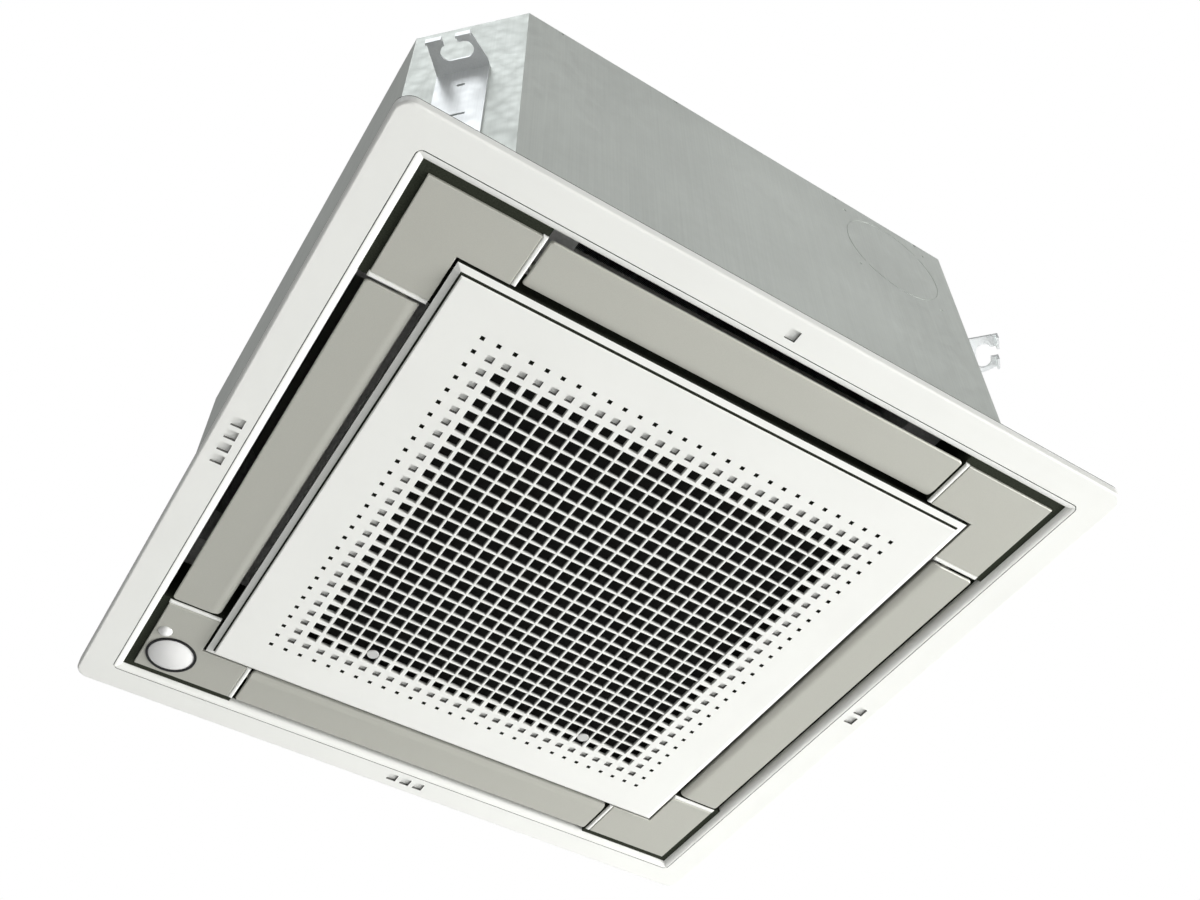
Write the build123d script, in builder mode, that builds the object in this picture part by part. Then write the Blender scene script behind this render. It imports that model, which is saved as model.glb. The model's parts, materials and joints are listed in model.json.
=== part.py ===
"""Ceiling cassette air conditioner for a 600 mm ceiling grid, as separate pieces.

Frame: the origin is the centre of the ceiling plane, where the rim of the decoration
panel meets the ceiling. +Z is up. Front is -Y, left is -X, back is +Y and right is +X.
All sizes are in millimetres. A "half" is the distance from the centre to a square's side.
"""
from build123d import *
from math import asin, cos, radians, sin, sqrt
import os

os.makedirs("parts", exist_ok=True)

# ---------------------------------------------------------------- driving dimensions
BODY_HALF = 287.5           # casing
BODY_HEIGHT = 260.0
BODY_CHAMFER = 68.0
SHEET = 1.0
BEAD = 1.5
LINER = 9.5

PANEL_OVERLAP = 22.5        # decoration panel, reaching out past the casing
PANEL_HALF = BODY_HALF + PANEL_OVERLAP
RIM_DROP = 9.0              # the rim's face lies this far below the ceiling
PANEL_TOP = 37.0            # back of the panel and bottom of the casing
RIM_CORNER = 12.0
RIM_EDGE = 2.0
SKIN = 3.0                  # moulded wall
OPENING_INSET = 10.15       # the panel's opening, inside the casing's walls
OPENING_HALF = BODY_HALF - OPENING_INSET
LIP_RADIUS = 6.5            # rounded lip of the panel opening
DUCT_WALL = 4.0
GROOVE_PLACE = 7.0          # fine line round the frame, from the opening
GROOVE_HALF = OPENING_HALF + GROOVE_PLACE
GROOVE_WIDTH = 0.7
GROOVE_DEPTH = 0.8
GROOVE_BACK = 1.0
GROOVE_CORNER = 5.0

MARK = 9.0                  # square count marks pressed into the rim
MARK_PITCH = 13.4
MARK_INSET = 14.5
MARK_HALF = PANEL_HALF - MARK_INSET
MARK_DEPTH = 0.5

SILVER_DROP = 8.0           # face of the flaps and corner covers
SILVER_GAP = 6.85
SILVER_OUTER = OPENING_HALF - SILVER_GAP
FLAP_WIDTH = 40.7
FLAP_INNER = SILVER_OUTER - FLAP_WIDTH
COVER_WIDTH = 43.9
COVER_INNER = SILVER_OUTER - COVER_WIDTH
CORNER_LENGTH = 86.5
RIB_CENTRE = SILVER_OUTER - CORNER_LENGTH
RIB_WIDTH = 4.0
RIB_PAST = 0.7
RIB_ROUND = 1.5
RIB_OUTER = SILVER_OUTER + RIB_PAST

SKIRT_GAP = 1.4             # suction grille
SKIRT_HALF = COVER_INNER - SKIRT_GAP
SKIRT_SLOPE = 5.8
SKIRT_STEP = SKIRT_HALF - SKIRT_SLOPE
FACE_INSET = 7.0
GRILLE_HALF = SKIRT_HALF - FACE_INSET
GRILLE_DROP = 13.0
HOLE_PITCH = 13.0
LATTICE_MARGIN = 70.0
LATTICE_ROWS = int((GRILLE_HALF - LATTICE_MARGIN) / HOLE_PITCH)
LATTICE_COUNT = 2 * LATTICE_ROWS + 1
LATTICE_HOLE = 11.0
EDGE_HOLE = 8.6

ROD_INSET = 42.0            # suspension rods, both ways
HANGER_PITCH = 2 * BODY_HALF - ROD_INSET

FAN_RADIUS = 150.0
FAN_BLADES = 7

RUNNING = 0.05              # radial clearance of a pin in its bore
CLEAR = 0.3                 # gap of a loose seat
PAST = 1.0                  # a cut runs this far past a face

SIDES = {"front": 0, "right": 90, "back": 180, "left": 270}
CORNERS = {"front_left": 0, "front_right": 90, "back_right": 180, "back_left": 270}
MARKS = {side: number + 1 for number, side in enumerate(SIDES)}

BODY_TOP = PANEL_TOP + BODY_HEIGHT
HANGER_DOWN = 94.0
HANGER_Z = BODY_TOP - HANGER_DOWN  # top face of the hanger tabs


def keep(piece, name):
    """Label a finished piece and write it under its name."""
    piece.part.label = name
    export_step(piece.part, "parts/" + name + ".step")


def octagon(inset):
    """Outline of the casing in plan, drawn in by an inset."""
    half = BODY_HALF - inset
    chamfer_leg = BODY_CHAMFER - inset * (2 - sqrt(2))
    Rectangle(2 * half, 2 * half)
    chamfer(vertices(), chamfer_leg)


def square_ring(outer, inner):
    """Square ring in plan, between two halves."""
    Rectangle(2 * outer, 2 * outer)
    Rectangle(2 * inner, 2 * inner, mode=Mode.SUBTRACT)


def side_turn(turn):
    """Turn about the vertical axis, for the places of one side inside a sketch."""
    return Location((0, 0, 0), (0, 0, turn))


def side_plane(turn):
    """Level plane of one side: local X runs along the side, local Y points inwards."""
    return Plane.XY.rotated((0, 0, turn))


def side_section(turn, along):
    """Upright plane across one side: local X points inwards, local Y upwards."""
    base = side_plane(turn)
    place = base.from_local_coords(Vector(along, 0, 0))
    return Plane(origin=place, x_dir=base.y_dir, z_dir=base.x_dir)


def corner_square(near, far, mode=Mode.ADD):
    """Square in plan between two distances from the centre, in the corner of -X and -Y."""
    with Locations((-(near + far) / 2, -(near + far) / 2)):
        Rectangle(far - near, far - near, mode=mode)


# ---------------------------------------------------------------- decoration panel
DECK_LOW = -5.5             # floor of the corners, behind the covers
DECK = 2.5
RING_GAP = 10.5             # wall between the suction and the outlets
RING_OUTER = SKIRT_HALF - RING_GAP
RING_WALL = 5.7
RING_INNER = RING_OUTER - RING_WALL
RING_LOW = -4.7
WEB_LOW = 0.0
WEB = 2.5
STEP_GAP = 2.4
STEP_HALF = COVER_INNER + STEP_GAP
HINGE_IN = 2.2
HINGE_Y = -(RING_OUTER - HINGE_IN)  # axis of the grille
HINGE_Z = -2.5
HINGE_X = 150.0
HINGE_PIN = 1.2
HINGE_NOTCH = 12.0
HINGE_NOTCH_TALL = 6.2
HINGE_PIN_LENGTH = 18.0
SWING_GAP = 0.4
SWING_HALF = COVER_INNER + SWING_GAP  # room for the skirt as the grille swings
SWING_TOP = 12.0
AXIS_IN = 13.2
FLAP_AXIS = FLAP_INNER + AXIS_IN
FLAP_AXIS_Z = -1.0
FLAP_PIN = 2.4
MOTOR_RADIUS = 10.0
MOTOR_OFFSET = 6.0
MOTOR_LENGTH = 15.0
MOTOR_BAY = 1.5
MOTOR_ROOM = 1.0
SCREW_IN = 15.4
SCREW_PLACE = COVER_INNER + SCREW_IN
SCREW_SHANK = 2.5
SCREW_HEAD = 5.5
SCREW_HEAD_LOW = -2.0
SCREW_SEAT = 2.0
SCREW_PAST = 11.0
SCREW_TOP = PANEL_TOP + SCREW_PAST
BOSS = 7.5
LATCH_COLUMN = LATTICE_ROWS - 3
LATCH_X = LATCH_COLUMN * HOLE_PITCH
LATCH_WIDTH = 20.0
LATCH_TRAVEL = 3.6
TONGUE_LOW = -0.8
TONGUE_HIGH = 1.2
TONGUE_GAP = 0.4
RIB_IN = RIB_CENTRE - RIB_WIDTH / 2
RIB_OUT = RIB_CENTRE + RIB_WIDTH / 2

with BuildPart() as panel_frame:
    with BuildSketch(Plane.XY.offset(-RIM_DROP)):
        RectangleRounded(2 * PANEL_HALF, 2 * PANEL_HALF, RIM_CORNER)
    extrude(amount=RIM_DROP)
    rim_bottom = faces().sort_by(Axis.Z)[0]
    fillet(rim_bottom.edges(), RIM_EDGE)
    with BuildSketch(Plane.XY.offset(-RIM_DROP)):
        Rectangle(2 * OPENING_HALF, 2 * OPENING_HALF)
    extrude(amount=RIM_DROP, mode=Mode.SUBTRACT)
    lip_edges = faces().sort_by(Axis.Z)[0].inner_wires()[0].edges()
    fillet(lip_edges, LIP_RADIUS)
    with BuildSketch(Plane.XY.offset(-RIM_DROP + SKIN)):
        inside = PANEL_HALF - SKIN
        RectangleRounded(2 * inside, 2 * inside, RIM_CORNER - SKIN)
        behind = GROOVE_HALF + GROOVE_BACK
        Rectangle(2 * behind, 2 * behind, mode=Mode.SUBTRACT)
    extrude(amount=RIM_DROP, mode=Mode.SUBTRACT)
    with BuildSketch(Plane.XY.offset(-RIM_DROP)):
        groove_out = GROOVE_HALF + GROOVE_WIDTH / 2
        groove_in = GROOVE_HALF - GROOVE_WIDTH / 2
        RectangleRounded(2 * groove_out, 2 * groove_out, GROOVE_CORNER + GROOVE_WIDTH / 2)
        RectangleRounded(
            2 * groove_in, 2 * groove_in, GROOVE_CORNER - GROOVE_WIDTH / 2, mode=Mode.SUBTRACT
        )
    extrude(amount=GROOVE_DEPTH, mode=Mode.SUBTRACT)
    # count marks, one to four, pressed into the middle of each side
    with BuildSketch(Plane.XY.offset(-RIM_DROP)):
        for side, turn in SIDES.items():
            with Locations(side_turn(turn)):
                with Locations((0, -MARK_HALF)):
                    with GridLocations(MARK_PITCH, 0, MARKS[side], 1):
                        Rectangle(MARK, MARK)
    extrude(amount=MARK_DEPTH, mode=Mode.SUBTRACT)
    # outer and inner duct walls
    with BuildSketch():
        square_ring(OPENING_HALF + DUCT_WALL, OPENING_HALF)
    extrude(amount=PANEL_TOP)
    with BuildSketch(Plane.XY.offset(RING_LOW)):
        square_ring(RING_OUTER, RING_INNER)
    extrude(amount=PANEL_TOP - RING_LOW)
    level_edges = edges().filter_by(Axis.X).filter_by_position(Axis.Z, RING_LOW, RING_LOW)
    fillet(level_edges.sort_by(Axis.Y)[0], HINGE_Z - RING_LOW)
    # end walls of the outlets, with the visible ribs at their feet
    with BuildSketch(Plane.XY.offset(-SILVER_DROP)):
        with PolarLocations(0, 4):
            rib_middle = (COVER_INNER + RIB_OUTER) / 2
            with Locations((-RIB_CENTRE, -rib_middle), (RIB_CENTRE, -rib_middle)):
                Rectangle(RIB_WIDTH, RIB_OUTER - COVER_INNER)
    extrude(amount=SILVER_DROP)
    rib_feet = edges().filter_by_position(Axis.Z, -SILVER_DROP, -SILVER_DROP)
    fillet(rib_feet, RIB_ROUND)
    for low, near, far in (
        (DECK_LOW, COVER_INNER, OPENING_HALF + DUCT_WALL),
        (DECK_LOW + DECK, RING_OUTER, COVER_INNER),
    ):
        with BuildSketch(Plane.XY.offset(low)):
            with PolarLocations(0, 4):
                with GridLocations(2 * RIB_CENTRE, 0, 2, 1):
                    with Locations((0, -(near + far) / 2)):
                        Rectangle(RIB_WIDTH, far - near)
        extrude(amount=PANEL_TOP - low)
    # floor, step and web of the corners, with the boss of a screw
    with BuildSketch(Plane.XY.offset(DECK_LOW)):
        with PolarLocations(0, 4):
            corner_square(RIB_OUT, OPENING_HALF + PAST)
            corner_square(RIB_OUT, STEP_HALF, Mode.SUBTRACT)
    extrude(amount=DECK)
    with BuildSketch(Plane.XY.offset(DECK_LOW)):
        with PolarLocations(0, 4):
            corner_square(RIB_OUT, STEP_HALF + DECK)
            corner_square(RIB_OUT, STEP_HALF, Mode.SUBTRACT)
            with Locations((-SCREW_PLACE, -SCREW_PLACE)):
                Circle(BOSS)
    extrude(amount=WEB_LOW + WEB - DECK_LOW)
    with BuildSketch(Plane.XY.offset(WEB_LOW)):
        with PolarLocations(0, 4):
            corner_square(RIB_OUT, STEP_HALF)
            corner_square(RIB_OUT, RING_INNER, Mode.SUBTRACT)
            with Locations((-SCREW_PLACE, -SCREW_PLACE)):
                Circle(BOSS)
    extrude(amount=WEB)
    with BuildSketch(Plane.XY.offset(WEB_LOW + WEB)):
        with GridLocations(2 * SCREW_PLACE, 2 * SCREW_PLACE, 2, 2):
            Circle(BOSS)
    extrude(amount=PANEL_TOP - WEB_LOW - WEB)
    # counterbores and bores of the screws, bays of the swing motors
    with BuildSketch(Plane.XY.offset(DECK_LOW)):
        with GridLocations(2 * SCREW_PLACE, 2 * SCREW_PLACE, 2, 2):
            Circle(SCREW_HEAD + CLEAR)
    extrude(amount=SCREW_SEAT - DECK_LOW, mode=Mode.SUBTRACT)
    with BuildSketch(Plane.XY.offset(SCREW_SEAT)):
        with GridLocations(2 * SCREW_PLACE, 2 * SCREW_PLACE, 2, 2):
            Circle(SCREW_SHANK + CLEAR)
    extrude(amount=PANEL_TOP - SCREW_SEAT, mode=Mode.SUBTRACT)
    with BuildSketch(Plane.XY.offset(DECK_LOW)):
        with PolarLocations(0, 4):
            with Locations((RIB_OUT + (MOTOR_LENGTH + MOTOR_BAY) / 2, -FLAP_AXIS)):
                Rectangle(MOTOR_LENGTH + MOTOR_BAY, 2 * (MOTOR_RADIUS + MOTOR_ROOM))
    extrude(amount=DECK, mode=Mode.SUBTRACT)
    # bores of the flaps' pins through both end walls
    for turn in SIDES.values():
        with BuildSketch(side_section(turn, 0)):
            with Locations((-FLAP_AXIS, FLAP_AXIS_Z)):
                Circle(FLAP_PIN + RUNNING)
        extrude(amount=RIB_OUT, both=True, mode=Mode.SUBTRACT)
    # room on the hinge side for the skirt as it swings up behind the frame
    with BuildSketch(Plane.XY.offset(-RIM_DROP)):
        with Locations((0, -(RING_OUTER + SWING_HALF) / 2)):
            Rectangle(2 * SWING_HALF, SWING_HALF - RING_OUTER)
    extrude(amount=RIM_DROP + SWING_TOP, mode=Mode.SUBTRACT)
    # notches and bores of the grille's hinge pins
    with BuildSketch(Plane.XY.offset(RING_LOW)):
        with Locations((-HINGE_X, HINGE_Y), (HINGE_X, HINGE_Y)):
            Rectangle(HINGE_NOTCH, 2 * (RING_OUTER - RING_INNER))
    extrude(amount=HINGE_NOTCH_TALL, mode=Mode.SUBTRACT)
    for x in (-HINGE_X, HINGE_X):
        with BuildSketch(Plane.YZ.offset(x)):
            with Locations((HINGE_Y, HINGE_Z)):
                Circle(HINGE_PIN + RUNNING)
        extrude(amount=HINGE_PIN_LENGTH / 2 + PAST, both=True, mode=Mode.SUBTRACT)
    # keeper pockets of the latches
    with BuildSketch(Plane.XY.offset(TONGUE_LOW - CLEAR)):
        keeper = LATCH_TRAVEL - TONGUE_GAP + CLEAR
        with Locations((-LATCH_X, RING_INNER + keeper / 2), (LATCH_X, RING_INNER + keeper / 2)):
            Rectangle(LATCH_WIDTH + 2 * CLEAR, keeper)
    extrude(amount=TONGUE_HIGH - TONGUE_LOW + 2 * CLEAR, mode=Mode.SUBTRACT)
keep(panel_frame, "panel_frame")

# ---------------------------------------------------------------- corner covers and sensors
COVER_SKIN = 1.6
COVER_EDGE = 1.2
COVER_GAP = 0.2
COVER_SOFT = 0.5
FLOOR_SENSOR_IN = (23.5, 25.5)
FLOOR_SENSOR = (FLOOR_SENSOR_IN[0] - SILVER_OUTER, SILVER_OUTER - FLOOR_SENSOR_IN[1])
FLOOR_SENSOR_R = 21.0
FLOOR_SENSOR_RING = 1.8
FLOOR_SENSOR_RISE = 1.0
FLOOR_LENS_RISE = 3.5
DOME_IN = (9.0, 50.7)
DOME = (DOME_IN[0] - SILVER_OUTER, SILVER_OUTER - DOME_IN[1])
DOME_R = 6.0
DOME_RISE = 3.2
COVER_START = RIB_OUT + COVER_GAP

for corner, turn in CORNERS.items():
    with BuildPart() as corner_cover:
        with BuildSketch(side_plane(turn).offset(-SILVER_DROP)):
            corner_square(COVER_START, SILVER_OUTER)
            corner_square(COVER_START, COVER_INNER, Mode.SUBTRACT)
        extrude(amount=SILVER_DROP + DECK_LOW)
        chamfer(faces().sort_by(Axis.Z)[0].edges(), COVER_SOFT)
        with BuildSketch(side_plane(turn).offset(-SILVER_DROP + COVER_SKIN)):
            corner_square(COVER_START + COVER_EDGE, SILVER_OUTER - COVER_EDGE)
            corner_square(COVER_START, COVER_INNER + COVER_EDGE, Mode.SUBTRACT)
        extrude(amount=SILVER_DROP + DECK_LOW, mode=Mode.SUBTRACT)
        if corner == "back_left":
            with BuildSketch(Plane.XY.offset(-SILVER_DROP)):
                with Locations(FLOOR_SENSOR):
                    Circle(FLOOR_SENSOR_R + CLEAR)
                with Locations(DOME):
                    Circle(DOME_R + CLEAR)
            extrude(amount=SILVER_DROP, mode=Mode.SUBTRACT)
    keep(corner_cover, "corner_cover_" + corner)

with BuildPart() as floor_sensor_bezel:
    with BuildSketch(Plane.XY.offset(-SILVER_DROP - FLOOR_SENSOR_RISE)):
        with Locations(FLOOR_SENSOR):
            Circle(FLOOR_SENSOR_R)
            Circle(FLOOR_SENSOR_R - FLOOR_SENSOR_RING, mode=Mode.SUBTRACT)
    extrude(amount=SILVER_DROP + FLOOR_SENSOR_RISE + DECK_LOW)
keep(floor_sensor_bezel, "floor_sensor_bezel")


def domed_button(place, radius, rise):
    """Round button on the corner floor, closed below by a spherical cap."""
    ball = (radius**2 + rise**2) / (2 * rise)
    centre_z = -SILVER_DROP - rise + ball
    with BuildSketch(Plane.XZ.offset(-place[1])) as profile:
        with BuildLine():
            rim_z = -SILVER_DROP
            middle = asin(radius / ball) / 2
            Line((place[0], -SILVER_DROP - rise), (place[0], DECK_LOW))
            Line((place[0], DECK_LOW), (place[0] + radius, DECK_LOW))
            Line((place[0] + radius, DECK_LOW), (place[0] + radius, rim_z))
            ThreePointArc(
                (place[0] + radius, rim_z),
                (place[0] + ball * sin(middle), centre_z - ball * cos(middle)),
                (place[0], -SILVER_DROP - rise),
            )
        make_face()
    revolve(profile.sketch, axis=Axis((place[0], place[1], 0), (0, 0, 1)))


with BuildPart() as floor_sensor_lens:
    domed_button(FLOOR_SENSOR, FLOOR_SENSOR_R - FLOOR_SENSOR_RING - RUNNING, FLOOR_LENS_RISE)
keep(floor_sensor_lens, "floor_sensor_lens")

with BuildPart() as presence_sensor:
    domed_button(DOME, DOME_R, DOME_RISE)
keep(presence_sensor, "presence_sensor")

# ---------------------------------------------------------------- flaps and swing motors
FLAP_END_GAP = 2.6
FLAP_END = RIB_IN - FLAP_END_GAP
FLAP_THICK = 2.5
FLAP_SOFT = 0.8
FLAP_CORNER = 3.0
EAR = 2.5
EAR_RADIUS = 4.0
MOTOR_EAR = 1.0
MOTOR_EAR_WIDTH = 7.0
MOTOR_EAR_TOP = 21.0
PIN_GAP = 0.2


for side, turn in SIDES.items():
    with BuildPart() as flap:
        with BuildSketch(side_plane(turn).offset(-SILVER_DROP)):
            with Locations((0, -(FLAP_INNER + SILVER_OUTER) / 2)):
                RectangleRounded(2 * FLAP_END, SILVER_OUTER - FLAP_INNER, FLAP_CORNER)
        extrude(amount=FLAP_THICK)
        chamfer(faces().sort_by(Axis.Z)[0].edges(), FLAP_SOFT)
        for start in (-FLAP_END, FLAP_END - EAR):
            with BuildSketch(side_section(turn, start)):
                with Locations((-FLAP_AXIS, FLAP_AXIS_Z)):
                    Circle(EAR_RADIUS)
                foot = FLAP_THICK - SILVER_DROP
                with Locations((-FLAP_AXIS, (foot + FLAP_AXIS_Z) / 2)):
                    Rectangle(2 * EAR_RADIUS, FLAP_AXIS_Z - foot)
            extrude(amount=EAR)
        pin_length = RIB_OUT - PIN_GAP - FLAP_END
        for start in (-FLAP_END - pin_length, FLAP_END):
            with BuildSketch(side_section(turn, start)):
                with Locations((-FLAP_AXIS, FLAP_AXIS_Z)):
                    Circle(FLAP_PIN)
            extrude(amount=pin_length)
    keep(flap, "flap_" + side)

    with BuildPart() as swing_motor:
        with BuildSketch(side_section(turn, RIB_OUT)):
            with Locations((-FLAP_AXIS, FLAP_AXIS_Z + MOTOR_OFFSET)):
                Circle(MOTOR_RADIUS)
        extrude(amount=MOTOR_LENGTH)
        with BuildSketch(side_section(turn, RIB_OUT)):
            ear_low = FLAP_AXIS_Z + MOTOR_OFFSET
            with Locations((-FLAP_AXIS, (ear_low + MOTOR_EAR_TOP) / 2)):
                Rectangle(MOTOR_EAR_WIDTH, MOTOR_EAR_TOP - ear_low)
        extrude(amount=MOTOR_EAR)
    keep(swing_motor, "swing_motor_" + side)

with BuildPart() as panel_screws:
    with BuildSketch(Plane.XY.offset(SCREW_HEAD_LOW)):
        with GridLocations(2 * SCREW_PLACE, 2 * SCREW_PLACE, 2, 2):
            Circle(SCREW_HEAD)
    extrude(amount=SCREW_SEAT - SCREW_HEAD_LOW)
    with BuildSketch(Plane.XY.offset(SCREW_SEAT)):
        with GridLocations(2 * SCREW_PLACE, 2 * SCREW_PLACE, 2, 2):
            Circle(SCREW_SHANK)
    extrude(amount=SCREW_TOP - SCREW_SEAT)
keep(panel_screws, "panel_screws")

# ---------------------------------------------------------------- suction grille
BASE_LOW = -9.5
BASE_TOP = -5.0
SKIRT_DROP = 8.0
WINDOW_MARGIN = 22.0
FACE_SKIN = 1.8
FACE_EDGE = 3.0
FACE_SOFT = 1.0
FACE_RIM = 2.4
FACE_REBATE = 1.6
FACE_CORNER = 2.0
BARS_THICK = 1.5
BARS_EDGE = 2.5
ARM_WIDTH = 8.0
ARM_RADIUS = 2.2
SLIDER_LOW = -8.1
SLIDER_TOP = -5.2
SLIDER_GAP = 0.1
SLIDER_LENGTH = 15.0
POST = 5.0
STEM_WIDTH = 6.0            # bar from the slider to its knob
KNOB_R = 5.0
KNOB_LOW = -12.6
lattice_half = HOLE_PITCH * (LATTICE_COUNT - 1) / 2
lattice_long = 2 * lattice_half + LATTICE_HOLE
edge_row = lattice_half + HOLE_PITCH
base_window = edge_row + WINDOW_MARGIN
knob_y = lattice_half + HOLE_PITCH / 2
knob_slot_end = edge_row + EDGE_HOLE / 2
post_out = RING_INNER - LATCH_TRAVEL - TONGUE_GAP
slider_back = post_out - SLIDER_LENGTH

with BuildPart() as grille_base:
    with BuildSketch(Plane.XY.offset(BASE_LOW)):
        Rectangle(2 * SKIRT_STEP, 2 * SKIRT_STEP)
    with BuildSketch(Plane.XY.offset(-SKIRT_DROP)):
        Rectangle(2 * SKIRT_HALF, 2 * SKIRT_HALF)
    loft()
    with BuildSketch(Plane.XY.offset(-SKIRT_DROP)):
        Rectangle(2 * SKIRT_HALF, 2 * SKIRT_HALF)
    extrude(amount=BASE_TOP + SKIRT_DROP)
    with BuildSketch(Plane.XY.offset(BASE_LOW)):
        Rectangle(2 * base_window, 2 * base_window)
    extrude(amount=BASE_TOP - BASE_LOW, mode=Mode.SUBTRACT)
    for x in (-HINGE_X, HINGE_X):
        with BuildSketch(Plane.YZ.offset(x)):
            with Locations((HINGE_Y, HINGE_Z)):
                Circle(ARM_RADIUS)
            with Locations((HINGE_Y, (HINGE_Z + BASE_TOP) / 2)):
                Rectangle(2 * ARM_RADIUS, HINGE_Z - BASE_TOP)
        extrude(amount=ARM_WIDTH / 2, both=True)
        with BuildSketch(Plane.YZ.offset(x)):
            with Locations((HINGE_Y, HINGE_Z)):
                Circle(HINGE_PIN)
        extrude(amount=HINGE_PIN_LENGTH / 2, both=True)
    # runways of the latches on the far side, open towards the window
    with BuildSketch(Plane.XY.offset(SLIDER_LOW - SLIDER_GAP)):
        for near, far, width in (
            (base_window - PAST, slider_back, STEM_WIDTH),
            (slider_back - CLEAR, post_out + LATCH_TRAVEL + CLEAR, LATCH_WIDTH),
        ):
            for x in (-LATCH_X, LATCH_X):
                with Locations((x, (near + far) / 2)):
                    Rectangle(width + 2 * CLEAR, far - near)
    extrude(amount=BASE_TOP - SLIDER_LOW + SLIDER_GAP, mode=Mode.SUBTRACT)
keep(grille_base, "grille_base")

with BuildPart() as grille_face:
    with BuildSketch(Plane.XY.offset(-GRILLE_DROP)):
        RectangleRounded(2 * GRILLE_HALF, 2 * GRILLE_HALF, FACE_CORNER)
    extrude(amount=GRILLE_DROP + BASE_LOW)
    chamfer(faces().sort_by(Axis.Z)[0].edges(), FACE_SOFT)
    with BuildSketch(Plane.XY.offset(-GRILLE_DROP + FACE_SKIN)):
        Rectangle(2 * (GRILLE_HALF - FACE_EDGE), 2 * (GRILLE_HALF - FACE_EDGE))
    extrude(amount=GRILLE_DROP, mode=Mode.SUBTRACT)
    # shadow line between the face and the skirt
    with BuildSketch(Plane.XY.offset(-GRILLE_DROP + FACE_RIM)):
        square_ring(GRILLE_HALF + PAST, GRILLE_HALF - FACE_REBATE)
    extrude(amount=GRILLE_DROP, mode=Mode.SUBTRACT)
    # the lattice's bars along X, and a row of smaller holes all round
    with BuildSketch(Plane.XY.offset(-GRILLE_DROP)):
        with GridLocations(0, HOLE_PITCH, 1, LATTICE_COUNT):
            Rectangle(lattice_long, LATTICE_HOLE)
        with GridLocations(HOLE_PITCH, 2 * edge_row, LATTICE_COUNT + 2, 2):
            Rectangle(EDGE_HOLE, EDGE_HOLE)
        with GridLocations(2 * edge_row, HOLE_PITCH, 2, LATTICE_COUNT):
            Rectangle(EDGE_HOLE, EDGE_HOLE)
        with Locations((0, (lattice_half + knob_slot_end) / 2)):
            with GridLocations(2 * LATCH_X, 0, 2, 1):
                Rectangle(LATTICE_HOLE, knob_slot_end - lattice_half)
    extrude(amount=FACE_SKIN, mode=Mode.SUBTRACT)
keep(grille_face, "grille_face")

with BuildPart() as grille_bars:
    with BuildSketch(Plane.XY.offset(-GRILLE_DROP + FACE_SKIN)):
        Rectangle(lattice_long + 2 * BARS_EDGE, lattice_long + 2 * BARS_EDGE)
        with GridLocations(HOLE_PITCH, 0, LATTICE_COUNT, 1):
            Rectangle(LATTICE_HOLE, lattice_long, mode=Mode.SUBTRACT)
        with Locations((0, lattice_half + HOLE_PITCH / 2)):
            with GridLocations(2 * LATCH_X, 0, 2, 1):
                Rectangle(LATTICE_HOLE, HOLE_PITCH, mode=Mode.SUBTRACT)
    extrude(amount=BARS_THICK)
keep(grille_bars, "grille_bars")

FILTER_LAP = 10.0
FILTER_HALF = base_window + FILTER_LAP
FILTER_BORDER = 12.0
FILTER_TALL = 5.0
MESH_LOW = -3.4
MESH = 0.8
FILTER_BAR = 4.0

with BuildPart() as filter_frame:
    with BuildSketch(Plane.XY.offset(BASE_TOP)):
        square_ring(FILTER_HALF, FILTER_HALF - FILTER_BORDER)
    extrude(amount=FILTER_TALL)
    with BuildSketch(Plane.XY.offset(MESH_LOW + MESH)):
        with GridLocations(2 * FILTER_HALF / 4, 0, 3, 1):
            Rectangle(FILTER_BAR, 2 * (FILTER_HALF - FILTER_BORDER))
        with GridLocations(0, 2 * FILTER_HALF / 4, 1, 3):
            Rectangle(2 * (FILTER_HALF - FILTER_BORDER), FILTER_BAR)
    extrude(amount=BASE_TOP + FILTER_TALL - MESH_LOW - MESH)
keep(filter_frame, "filter_frame")

with BuildPart() as filter_mesh:
    with BuildSketch(Plane.XY.offset(MESH_LOW)):
        mesh_half = FILTER_HALF - FILTER_BORDER
        Rectangle(2 * mesh_half, 2 * mesh_half)
    extrude(amount=MESH)
keep(filter_mesh, "filter_mesh")

for side, x in (("left", -LATCH_X), ("right", LATCH_X)):
    with BuildPart() as grille_latch:
        with BuildSketch(Plane.XY.offset(SLIDER_LOW)):
            with Locations((x, (slider_back + post_out) / 2)):
                Rectangle(LATCH_WIDTH, post_out - slider_back)
            with Locations((x, (knob_y + slider_back) / 2)):
                Rectangle(STEM_WIDTH, slider_back - knob_y)
        extrude(amount=SLIDER_TOP - SLIDER_LOW)
        with BuildSketch(Plane.XY.offset(KNOB_LOW)):
            with Locations((x, knob_y)):
                Circle(KNOB_R)
        extrude(amount=SLIDER_TOP - KNOB_LOW)
        with BuildSketch(Plane.XY.offset(SLIDER_TOP)):
            with Locations((x, post_out - POST / 2)):
                Rectangle(LATCH_WIDTH, POST)
        extrude(amount=TONGUE_HIGH - SLIDER_TOP)
        with BuildSketch(Plane.XY.offset(TONGUE_LOW)):
            with Locations((x, post_out + LATCH_TRAVEL / 2)):
                Rectangle(LATCH_WIDTH, LATCH_TRAVEL)
        extrude(amount=TONGUE_HIGH - TONGUE_LOW)
    keep(grille_latch, "grille_latch_" + side)

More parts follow.
